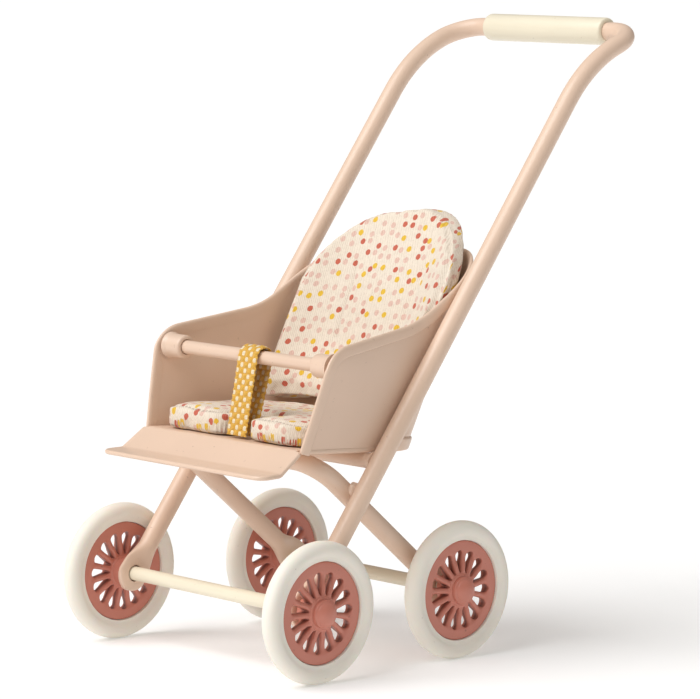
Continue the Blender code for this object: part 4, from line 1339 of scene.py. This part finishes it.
class STROLLER_OT_pan(bpy.types.Operator):
    """Press the seat floor, the footrest slope and its rolled lip"""

    bl_idname = "stroller.pan"
    bl_label = "Seat floor and footrest"

    def execute(self, context):
        line = resampled(pan_line(), 0.9 * MM)
        front = line[-1].x
        extra = [0.25, 0.6, 1.05, 1.6, 2.1]
        rows = [point for point in line if point.x > front + 2.3 * MM]
        for dy in reversed(extra):
            rows.append(Vector((front + dy * MM, line[-1].y + LIP_DROP * dy * MM / LIP_RUN)))
        rows.append(line[-1])

        def place(across, along):
            y, z = rows[round(along * (len(rows) - 1))]
            return at((across * 2 - 1) * pan_half_width(y), y, z)

        pan = grid("pan", 40, len(rows) - 1, place)
        thicken(pan)
        edge = [point for point in rows if point.x < SEAT_FRONT - 0.4 * MM]
        lower = 0.16 * MM
        half = [at(pan_half_width(y) - 0.1 * MM, y, z - lower) for y, z in edge]
        lip_y, lip_z = edge[-1]
        corner = pan_half_width(lip_y)
        half += [at(corner * (1 - n / 12), lip_y, lip_z - lower) for n in range(1, 12)]
        bead = bent_tube("lip", mirrored(half), 0.5 * MM, 16)
        pan = join(pan, bead)
        pan.name = "footrest_pan"
        paint_metal(pan, "seat_pan", 40)
        return {"FINISHED"}


class STROLLER_OT_bumper(bpy.types.Operator):
    """Turn the bumper bar and its two sockets"""

    bl_idname = "stroller.bumper"
    bl_label = "Bumper bar"

    def execute(self, context):
        radius = sizes().bar_radius
        rod = turned_rod("bumper_rod", "bumper_bar", radius, 0.25 * MM)
        paint_metal(rod, "bumper_bar")
        for name, sign in (("left", 1), ("right", -1)):
            node = "bumper_socket_" + name
            low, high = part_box(node)
            outer = (high.z - low.z) / 2
            base = high.x if sign > 0 else low.x
            length = high.x - low.x
            shape = [(-0.5, 0), (-0.5, outer + 0.35 * MM), (0.0, outer + 0.32 * MM), (0.35, outer + 0.1 * MM)]
            shape = [(x * MM, r) for x, r in shape]
            shape += [(0.8 * MM, outer), (length - 0.7 * MM, outer), (length - 0.3 * MM, outer - 0.1 * MM)]
            shape += [(length - 0.05 * MM, outer - 0.38 * MM), (length, outer - 0.8 * MM)]
            shape += [(length - 0.1 * MM, radius + 0.15 * MM), (1.3 * MM, radius + 0.1 * MM), (1.3 * MM, 0)]
            socket = turned("bumper_cup_" + name, shape, (0, 0, 0), 48)
            if sign > 0:
                socket.data.transform(Matrix.Rotation(math.pi, 4, "Z"))
            centre = middle(node)
            socket.data.transform(Matrix.Translation((base, centre.y, centre.z)))
            paint_metal(socket, node, 40)
        return {"FINISHED"}


# Cushions and strap


def swell(pad, cap, keep_in, bend=None):
    """Inflate a closed pad as cloth, at ten times its size, and cap how far each point moves.

    bend, a function of a point, gives the flat pad its curve before it swells.
    """
    pad.data.transform(Matrix.Scale(WORK_SCALE, 4))
    pick(pad)
    pad.data.remesh_voxel_size = PAD_VOXEL * WORK_SCALE
    bpy.ops.object.voxel_remesh()
    if bend:
        for vertex in pad.data.vertices:
            vertex.co = bend(vertex.co / WORK_SCALE) * WORK_SCALE
    soften = pad.modifiers.new("soften", "SMOOTH")
    soften.factor = 0.5
    soften.iterations = 6
    apply(pad, soften)
    start = np.empty(len(pad.data.vertices) * 3)
    pad.data.vertices.foreach_get("co", start)
    start = start.reshape(-1, 3)
    cloth = pad.modifiers.new("cloth", "CLOTH")
    cloth.settings.quality = 5
    cloth.settings.mass = 0.3
    cloth.settings.use_pressure = True
    cloth.settings.uniform_pressure_force = 4
    cloth.settings.effector_weights.gravity = 0
    cloth.settings.tension_stiffness = 15
    cloth.settings.compression_stiffness = 8
    cloth.settings.bending_stiffness = 0.4
    cloth.collision_settings.use_collision = False
    cloth.point_cache.frame_start = 1
    cloth.point_cache.frame_end = SWELL_FRAMES
    scene = bpy.context.scene
    for number in range(1, SWELL_FRAMES + 1):
        scene.frame_set(number)
    apply(pad, cloth)
    scene.frame_set(1)
    moved = np.empty(len(pad.data.vertices) * 3)
    pad.data.vertices.foreach_get("co", moved)
    moved = moved.reshape(-1, 3)
    step = moved - start
    length = np.linalg.norm(step, axis=1, keepdims=True)
    limit = cap * WORK_SCALE
    step *= np.where(length > limit, limit / np.maximum(length, 1e-9), 1.0)
    points = (start + step) / WORK_SCALE
    points = np.array([keep_in(*point) for point in points])
    pad.data.vertices.foreach_set("co", points.ravel())
    relax = pad.modifiers.new("relax", "SMOOTH")
    relax.factor = 0.5
    relax.iterations = 2
    apply(pad, relax)
    finer = pad.modifiers.new("finer", "SUBSURF")
    finer.levels = 1
    finer.render_levels = 1
    apply(pad, finer)


def lay_cloth(pad, place):
    """Give a pad its cloth coordinates, in millimetres, as a function of a point."""
    mesh = pad.data
    for layer in list(mesh.uv_layers):
        mesh.uv_layers.remove(layer)
    layer = mesh.uv_layers.new(name="cloth")
    spots = np.array([place(vertex.co, vertex.normal) for vertex in mesh.vertices])
    corners = np.empty(len(mesh.loops), dtype=np.int32)
    mesh.loops.foreach_get("vertex_index", corners)
    layer.data.foreach_set("uv", spots[corners].astype(np.float32).ravel())


def down_the_rim(out, drop, away):
    """Cloth shift along an outward normal, by the drop from the face, fading in from the outline."""
    if out.length <= 1e-4:
        return out
    return out.normalized() * max(drop, 0) * smooth_step((away - 3.0 * MM) / (-1.5 * MM))


def outline_tree(points):
    """A search tree over a dense closed or open outline of 2D points, with their running lengths."""
    tree = KDTree(len(points))
    lengths = [0.0]
    for first, second in zip(points, points[1:]):
        lengths.append(lengths[-1] + (second - first).length)
    for index, point in enumerate(points):
        tree.insert((point.x, point.y, 0), index)
    tree.balance()
    return tree, lengths


def seat_pad_plan(shrink):
    """Plan of the seat pad: two front lobes with a notch between them for the strap."""
    half = 23.75 * MM - shrink
    front = SEAT_FRONT + 1.3 * MM + shrink
    rear = SEAT_FRONT + 34.3 * MM - shrink
    notch = 4.4 * MM
    inner = SEAT_FRONT + 10.8 * MM + shrink
    middle_x = STRAP_CENTRE
    right = [(middle_x + notch, inner), (middle_x + notch - 0.5 * MM, front)]
    right += [(half - 0.6 * MM, front + 0.4 * MM), (half, rear), (0, rear)]
    left = [(0, rear), (-half, rear), (0.4 * MM - half, front + 0.1 * MM)]
    left += [(middle_x - notch + 0.5 * MM, front), (middle_x - notch, inner)]
    path = rounded([Vector(p) for p in right], [0, 4.2 * MM, 7.0 * MM, 10 * MM, 0])
    path += rounded([Vector(p) for p in left], [0, 10 * MM, 5.6 * MM, 4.2 * MM, 0])[1:]
    notch_end = [Vector((middle_x - notch, inner)), Vector((middle_x - notch, inner + 2.2 * MM))]
    notch_end += [Vector((middle_x + notch, inner + 2.2 * MM)), Vector((middle_x + notch, inner))]
    path += rounded(notch_end, [0, 3.2 * MM, 3.2 * MM, 0])[1:-1]
    return path


class STROLLER_OT_seat_cushion(bpy.types.Operator):
    """Sew and fill the seat cushion"""

    bl_idname = "stroller.seat_cushion"
    bl_label = "Seat cushion"

    def execute(self, context):
        plan = [(x, y, 0.5 * MM) for x, y in seat_pad_plan(-0.2 * MM)]
        pad = slab("seat_pad", plan, (0, 0, 4.1 * MM))

        def keep_in(x, y, z):
            wall = PAD_WALL + 1.6 * MM * min(max(z / (8 * MM), 0), 1) * max(-y / (20 * MM), 0)
            return (min(max(x, -wall), wall), y, max(z, 0.12 * MM))

        swell(pad, sizes().seat_swell, keep_in)
        dense = resampled(seat_pad_plan(0.0) + seat_pad_plan(0.0)[:1], 0.15 * MM)
        tree, lengths = outline_tree(dense)
        shades = []
        normals = [vertex.normal.copy() for vertex in pad.data.vertices]
        for vertex, normal in zip(pad.data.vertices, normals):
            co = vertex.co.copy()
            _, index, away = tree.find((co.x, co.y, 0))
            run = lengths[index]
            up = co.z
            outward = smooth_step((1.5 * MM - away) / (1.5 * MM))
            front = smooth_step((-8 * MM - co.y) / (5 * MM))
            top = smooth_step((up - 2.2 * MM) / (1.0 * MM))
            stitch_and_fold_shade = bump_curve(away - 1.55 * MM, 0.30 * MM) * top
            rib = math.cos(2 * math.pi * run / (0.95 * MM) + 1.5 * noise.noise(co * 250))
            gather = outward * smooth_step((3.4 * MM - up) / (1.6 * MM)) * smooth_step(up / (0.8 * MM))
            crown = 0.35 * MM * noise.noise(co * 95) * top
            vertex.co = co + normal * (rib * 0.10 * MM * gather - 0.22 * MM * stitch_and_fold_shade + crown * (1 - outward))
            dashes = 0.5 + 0.5 * math.cos(2 * math.pi * run / (1.15 * MM))
            # Dark dashes of stitching along the seam line, on the front of the top face.
            seam_and_shade = bump_curve(away - 1.55 * MM, 0.15 * MM) * top * front * smooth_step(dashes * 1.8 - 0.3)
            # Painted shade round the pad's rim just above the seat floor.
            foot = bump_curve(up - 0.75 * MM, 0.18 * MM) * outward
            shades.append(min(0.75 * seam_and_shade + 0.45 * foot, 1))
        set_seam_and_shade(pad, lambda co, n: shades[n])

        def place(co, normal):
            out = Vector((normal.x, normal.y))
            out = down_the_rim(out, 4.0 * MM - co.z, tree.find((co.x, co.y, 0))[2])
            return ((co.x + out.x) / MM + 31.4, (co.y + out.y) / MM + 7.3)

        lay_cloth(pad, place)
        for vertex in pad.data.vertices:
            co = vertex.co
            vertex.co = at(co.x, co.y, co.z + floor_top(co.y) + 0.05 * MM)
        finish_piece(pad, spotted_cotton(), "frame", "spotted_cotton", ["seat_cushion"], 80)
        return {"FINISHED"}


def back_pad_outline(grow):
    """Front view of the back pad as (x, z) points, from its left foot over the dome and back."""
    low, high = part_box("back_cushion")
    foot = low.z - 2.6 * MM - grow
    top = high.z + 1.2 * MM + grow
    dome = 19 * MM
    points = []
    for side in (-1, 1):
        half = []
        for n in range(21):
            z = foot + (top - dome - foot) * n / 20
            share = (z - foot) / (top - foot)
            half.append((side * ((23.6 + 0.5 * share) * MM + grow) + BACK_PAD_SLIDE * share, z))
        for degrees in range(6, 91, 6):
            into = math.sin(math.radians(degrees))
            z = top - dome + dome * into
            share = (z - foot) / (top - foot)
            reach = 5 * MM + (19.0 * MM + grow) * math.cos(math.radians(degrees))
            drop = 1.2 * MM * into if side < 0 else 0
            half.append((side * reach + BACK_PAD_SLIDE * share, z - drop))
        points += half if side < 0 else half[::-1]
    path = [Vector(p) for p in points]
    return rounded([path[0] + Vector((12 * MM, 0))] + path + [path[-1] - Vector((12 * MM, 0))],
                   [0, 3 * MM] + [0] * (len(path) - 2) + [3 * MM, 0])


def back_pad_wrap(x):
    """How far a point is into the back pad's turned side: 0 in its flat middle, 1 near its edge."""
    return max(abs(x) - BACK_PAD_FLAT, 0) / BACK_PAD_TURN


def back_pad_middle(x, z):
    """Distance y of the middle of the back pad, whose sides come forward in the tub."""
    return back_line(z) - 4.0 * MM - 5.0 * MM * back_pad_wrap(x) ** 2


class STROLLER_OT_back_cushion(bpy.types.Operator):
    """Sew and fill the back cushion"""

    bl_idname = "stroller.back_cushion"
    bl_label = "Back cushion"

    def execute(self, context):
        plan = [(x, -2.1 * MM, z) for x, z in back_pad_outline(-0.5 * MM)]
        pad = slab("back_pad", plan, (0, 4.2 * MM, 0))

        def keep_in(x, y, z):
            wall = PAD_WALL + 0.8 * MM * smooth_step((z - 72 * MM) / (8 * MM))
            return (min(max(x, -wall), wall), min(y, back_line(z) - 0.7 * MM), z)

        def bend(co):
            return Vector((co.x, co.y + back_pad_middle(co.x, co.z), co.z))

        swell(pad, sizes().back_swell, keep_in, bend)
        outline = back_pad_outline(0.0)
        dense = resampled(outline + outline[:1], 0.15 * MM)
        tree, lengths = outline_tree(dense)
        shades = []
        left_tuck = [Vector((-9.5, 84.0)), Vector((-8.2, 79.0)), Vector((-8.4, 74.0)), Vector((-7.6, 68.0))]
        tuck = resampled([p * MM for p in left_tuck], 0.6 * MM)
        normals = [vertex.normal.copy() for vertex in pad.data.vertices]
        for vertex, normal in zip(pad.data.vertices, normals):
            co = vertex.co.copy()
            _, index, away = tree.find((co.x, co.z, 0))
            run = lengths[index]
            behind = co.y - back_pad_middle(co.x, co.z)
            outer = smooth_step((1.4 * MM - away) / (1.2 * MM))
            seam_and_shade = bump_curve(behind - 0.9 * MM, 0.32 * MM) * outer
            rib = math.cos(2 * math.pi * run / (1.0 * MM) + 2 * noise.noise(co * 200))
            gather = bump_curve(behind + 0.4 * MM, 1.1 * MM) * outer
            face = smooth_step((0.4 * MM - behind) / (1.5 * MM))
            nearest = 1
            if face > 0.3 and -12 * MM < co.x < -5 * MM and 65 * MM < co.z < 87 * MM:
                nearest = min(math.hypot(co.x - p.x, co.z - p.y) for p in tuck)
            fold = bump_curve(nearest, 0.7 * MM) * face
            crease_x = co.x - (11.5 * MM + 0.10 * (co.z - 70 * MM))
            crease = face * bump_curve(crease_x, 1.0 * MM) * smooth_step((co.z - 60 * MM) / (8 * MM))
            crease *= smooth_step((93 * MM - co.z) / (8 * MM))
            soft = 0.5 * MM * noise.noise(Vector((co.x, co.z, 0)) * 70) * face * (1 - outer)
            move = 0.09 * MM * rib * gather - 0.3 * MM * seam_and_shade - 0.42 * MM * fold - 0.5 * MM * crease + soft
            vertex.co = co + normal * move
            # Painted shade along the tuck's fold, and on the next line painted shade along the seam groove
            # round the rim.
            stitch_and_fold_shade = bump_curve(nearest, 0.2 * MM) * face * 0.35
            shades.append(min(0.8 * bump_curve(behind - 0.9 * MM, 0.2 * MM) * outer + stitch_and_fold_shade, 1))
        set_seam_and_shade(pad, lambda co, n: shades[n])

        def place(co, normal):
            out = Vector((normal.x, normal.z))
            behind = co.y - back_pad_middle(co.x, co.z) + 1.6 * MM
            out = down_the_rim(out, behind, tree.find((co.x, co.z, 0))[2])
            wing = math.copysign(2.3 * MM * back_pad_wrap(co.x) ** 2, co.x)
            return ((co.x + out.x + wing) / MM + 11.0, (co.z + out.y) / math.cos(BACK_LEAN) / MM + 3.0)

        lay_cloth(pad, place)
        pad.data.transform(Matrix.Translation((0, MID_Y, 0)))
        finish_piece(pad, spotted_cotton(), "frame", "spotted_cotton", ["back_cushion"], 80)
        return {"FINISHED"}


def tangent_angle(centre, radius, foot, side):
    """Angle at which a straight line from a foot touches a circle."""
    away = foot - centre
    return math.atan2(away.y, away.x) % (2 * math.pi) - side * math.acos(radius / away.length)


def strap_line():
    """Side view of the strap: up from the front foot, round the bar and down to the rear foot."""
    bar = Vector(BAR_AT)
    reach = sizes().bar_radius + 0.75 * MM
    feet = [Vector((y, floor_top(y) + 0.5 * MM)) for y in (SEAT_FRONT + 2.9 * MM, SEAT_FRONT + 5.9 * MM)]
    start = tangent_angle(bar, reach, feet[0], 1)
    end = tangent_angle(bar, reach, feet[1], -1) - 2 * math.pi
    loop = [start + (end - start) * n / 24 for n in range(25)]
    path = [feet[0]] + [bar + Vector((math.cos(a), math.sin(a))) * reach for a in loop] + [feet[1]]
    return path


class STROLLER_OT_strap(bpy.types.Operator):
    """Weave the strap over the bumper bar"""

    bl_idname = "stroller.strap"
    bl_label = "Woven strap"

    def execute(self, context):
        line = resampled(strap_line(), 0.1 * MM)
        lengths = [0.0]
        for first, second in zip(line, line[1:]):
            lengths.append(lengths[-1] + (second - first).length)
        columns = 5
        cell = sizes().strap_width / columns
        rows = round(lengths[-1] / cell)
        fine = 8
        total_rows = rows * fine

        def station(along):
            run = along * lengths[-1]
            index = min(int(np.searchsorted(lengths, run)), len(line) - 2)
            index = max(index, 1)
            here = line[index]
            way = (line[index + 1] - line[index - 1]).normalized()
            return here, Vector((way.y, -way.x)) * -1

        stations = [station(n / total_rows) for n in range(total_rows + 1)]

        def pillow(u, v):
            """Height of the weave inside cell coordinates."""
            ru = math.sin(math.pi * (u % 1))
            rv = math.sin(math.pi * (v % 1))
            over = (int(u) + int(v)) % 2 == 0
            if over:
                return 0.30 * (abs(ru) ** 0.6) * (abs(rv) ** 0.5)
            return 0.16 * (abs(ru) ** 0.5) * (abs(rv) ** 0.7)

        def skin(name, face):
            def place(across, along):
                row = round(along * total_rows)
                point, out = stations[row]
                u = across * columns
                v = row / fine
                edge = 0.16 * MM * math.cos(2 * math.pi * v) * (2 * across - 1) ** 7
                x = STRAP_CENTRE + (across - 0.5) * sizes().strap_width + edge
                lift = 0.18 * MM + pillow(min(u, columns - 1e-6), min(v, rows - 1e-6)) * MM
                rim = math.sqrt(max(1 - abs(2 * across - 1) ** 6, 0))
                spot = point + out * face * lift * rim
                return at(x, spot.x, spot.y)

            return grid(name, columns * fine, total_rows, place)

        front = skin("strap_face", 1)
        back = skin("strap_back", -1)
        for piece in (front, back):
            layer = piece.data.uv_layers[0]
            layer.name = "cloth"
            values = np.empty(len(piece.data.loops) * 2, dtype=np.float32)
            layer.data.foreach_get("uv", values)
            values = values.reshape(-1, 2)
            values[:, 0] *= columns
            values[:, 1] *= rows
            layer.data.foreach_set("uv", values.ravel())
        strap = join(front, back)
        strap.name = "strap_webbing"
        clean(strap, 0.01 * MM)

        # Painted shade where the strap runs behind and below the bumper bar.
        def shade(co, n):
            behind = smooth_step((co.y - MID_Y + 14.6 * MM) / (1.5 * MM))
            below = smooth_step((65.5 * MM - co.z) / (2 * MM))
            return 0.45 * (behind * below)

        set_seam_and_shade(strap, shade)
        finish_piece(strap, woven_webbing(), "frame", "woven_webbing", ["strap"], 60)
        return {"FINISHED"}


# Stage


class STROLLER_OT_stage(bpy.types.Operator):
    """Lay a pale floor, hang soft lights and aim the camera"""

    bl_idname = "stroller.stage"
    bl_label = "Stage"

    def execute(self, context):
        scene = context.scene
        scene.view_settings.view_transform = "Standard"
        deselect()
        bpy.ops.mesh.primitive_grid_add(x_subdivisions=8, y_subdivisions=8, size=90)
        floor = context.active_object
        floor.name = "floor"
        made, tree, shader = new_material("floor_paper", Roughness=0.9)
        place = add_node(tree, "ShaderNodeTexCoord").outputs["Object"]
        speckle = noise_node(tree, place, 40, 3).outputs["Fac"]
        tone = mix_colours(tree, speckle, (0.86, 0.86, 0.86, 1), (0.9, 0.9, 0.9, 1))
        tree.links.new(tone, shader.inputs["Base Color"])
        shader.inputs["Emission Color"].default_value = (1, 1, 1, 1)
        shader.inputs["Emission Strength"].default_value = 0.22
        floor.data.materials.append(made)
        self.light(scene, *self.aim_camera(scene))
        return {"FINISHED"}

    def aim_camera(self, scene):
        bpy.ops.object.camera_add()
        camera = bpy.context.active_object
        level = Vector((math.sin(AZIMUTH), -math.cos(AZIMUTH), 0))
        back = level * math.cos(ELEVATION) + Vector((0, 0, math.sin(ELEVATION)))
        level_right = Vector((math.cos(AZIMUTH), math.sin(AZIMUTH), 0))
        level_up = back.cross(level_right)
        right = level_right * math.cos(ROLL) + level_up * math.sin(ROLL)
        up = level_up * math.cos(ROLL) - level_right * math.sin(ROLL)
        aim = right * AIM_RIGHT + up * AIM_UP + Vector((0, MID_Y, 0))
        turn = Matrix((right, up, back)).transposed().to_4x4()
        camera.matrix_world = Matrix.Translation(aim + back * CAMERA_REACH) @ turn
        camera.data.sensor_width = 36
        camera.data.lens = LENS
        camera.data.clip_start = 0.01
        camera.data.clip_end = 200
        scene.camera = camera
        return right, up, back

    def light(self, scene, right, up, back):
        def sun(name, way, strength, spread):
            bpy.ops.object.light_add(type="SUN")
            lamp = bpy.context.active_object
            lamp.name = name
            lamp.data.energy = strength
            lamp.data.angle = math.radians(spread)
            lamp.rotation_mode = "QUATERNION"
            lamp.rotation_quaternion = way.normalized().to_track_quat("Z", "Y")

        sun("key_light", back * 0.55 - right * 0.75 + up * 0.95, 2.6, 50)
        sun("top_light", Vector((0.1, 0.25, 1)), 0.3, 70)
        world = bpy.data.worlds.new("studio")
        scene.world = world
        world.use_nodes = True
        tree = world.node_tree
        room = tree.nodes["Background"]
        room.inputs["Color"].default_value = (1.0, 0.955, 0.90, 1)
        room.inputs["Strength"].default_value = 0.26
        seen = add_node(tree, "ShaderNodeBackground")
        seen.inputs["Strength"].default_value = 1.0
        path = add_node(tree, "ShaderNodeLightPath")
        mix = add_node(tree, "ShaderNodeMixShader")
        tree.links.new(path.outputs["Is Camera Ray"], mix.inputs[0])
        tree.links.new(room.outputs[0], mix.inputs[1])
        tree.links.new(seen.outputs[0], mix.inputs[2])
        tree.links.new(mix.outputs[0], tree.nodes["World Output"].inputs["Surface"])


class STROLLER_PT_panel(bpy.types.Panel):
    """Lists the stroller's pieces"""

    bl_label = "Stroller"
    bl_idname = "STROLLER_PT_panel"
    bl_space_type = "VIEW_3D"
    bl_region_type = "UI"
    bl_category = "Stroller"

    def draw(self, context):
        layout = self.layout
        for settings in (context.scene.stroller_sizes, context.scene.stroller_colours):
            box = layout.box()
            for name in settings.__annotations__:
                box.prop(settings, name)
        for operator in OPERATORS:
            layout.operator(operator.bl_idname)


OPERATORS = (
    STROLLER_OT_stage,
    STROLLER_OT_handle,
    STROLLER_OT_rear_frame,
    STROLLER_OT_grip,
    STROLLER_OT_cross_bar,
    STROLLER_OT_axles,
    STROLLER_OT_wheels,
    STROLLER_OT_shell,
    STROLLER_OT_pan,
    STROLLER_OT_bumper,
    STROLLER_OT_seat_cushion,
    STROLLER_OT_back_cushion,
    STROLLER_OT_strap,
)
CLASSES = (StrollerSizes, StrollerColours, *OPERATORS, STROLLER_PT_panel)


def register():
    for item in CLASSES:
        bpy.utils.register_class(item)
    bpy.types.Scene.stroller_sizes = PointerProperty(type=StrollerSizes)
    bpy.types.Scene.stroller_colours = PointerProperty(type=StrollerColours)


def unregister():
    del bpy.types.Scene.stroller_colours
    del bpy.types.Scene.stroller_sizes
    for item in reversed(CLASSES):
        bpy.utils.unregister_class(item)


def main():
    register()
    for operator in OPERATORS:
        family, name = operator.bl_idname.split(".")
        getattr(getattr(bpy.ops, family), name)()


if __name__ == "__main__":
    main()
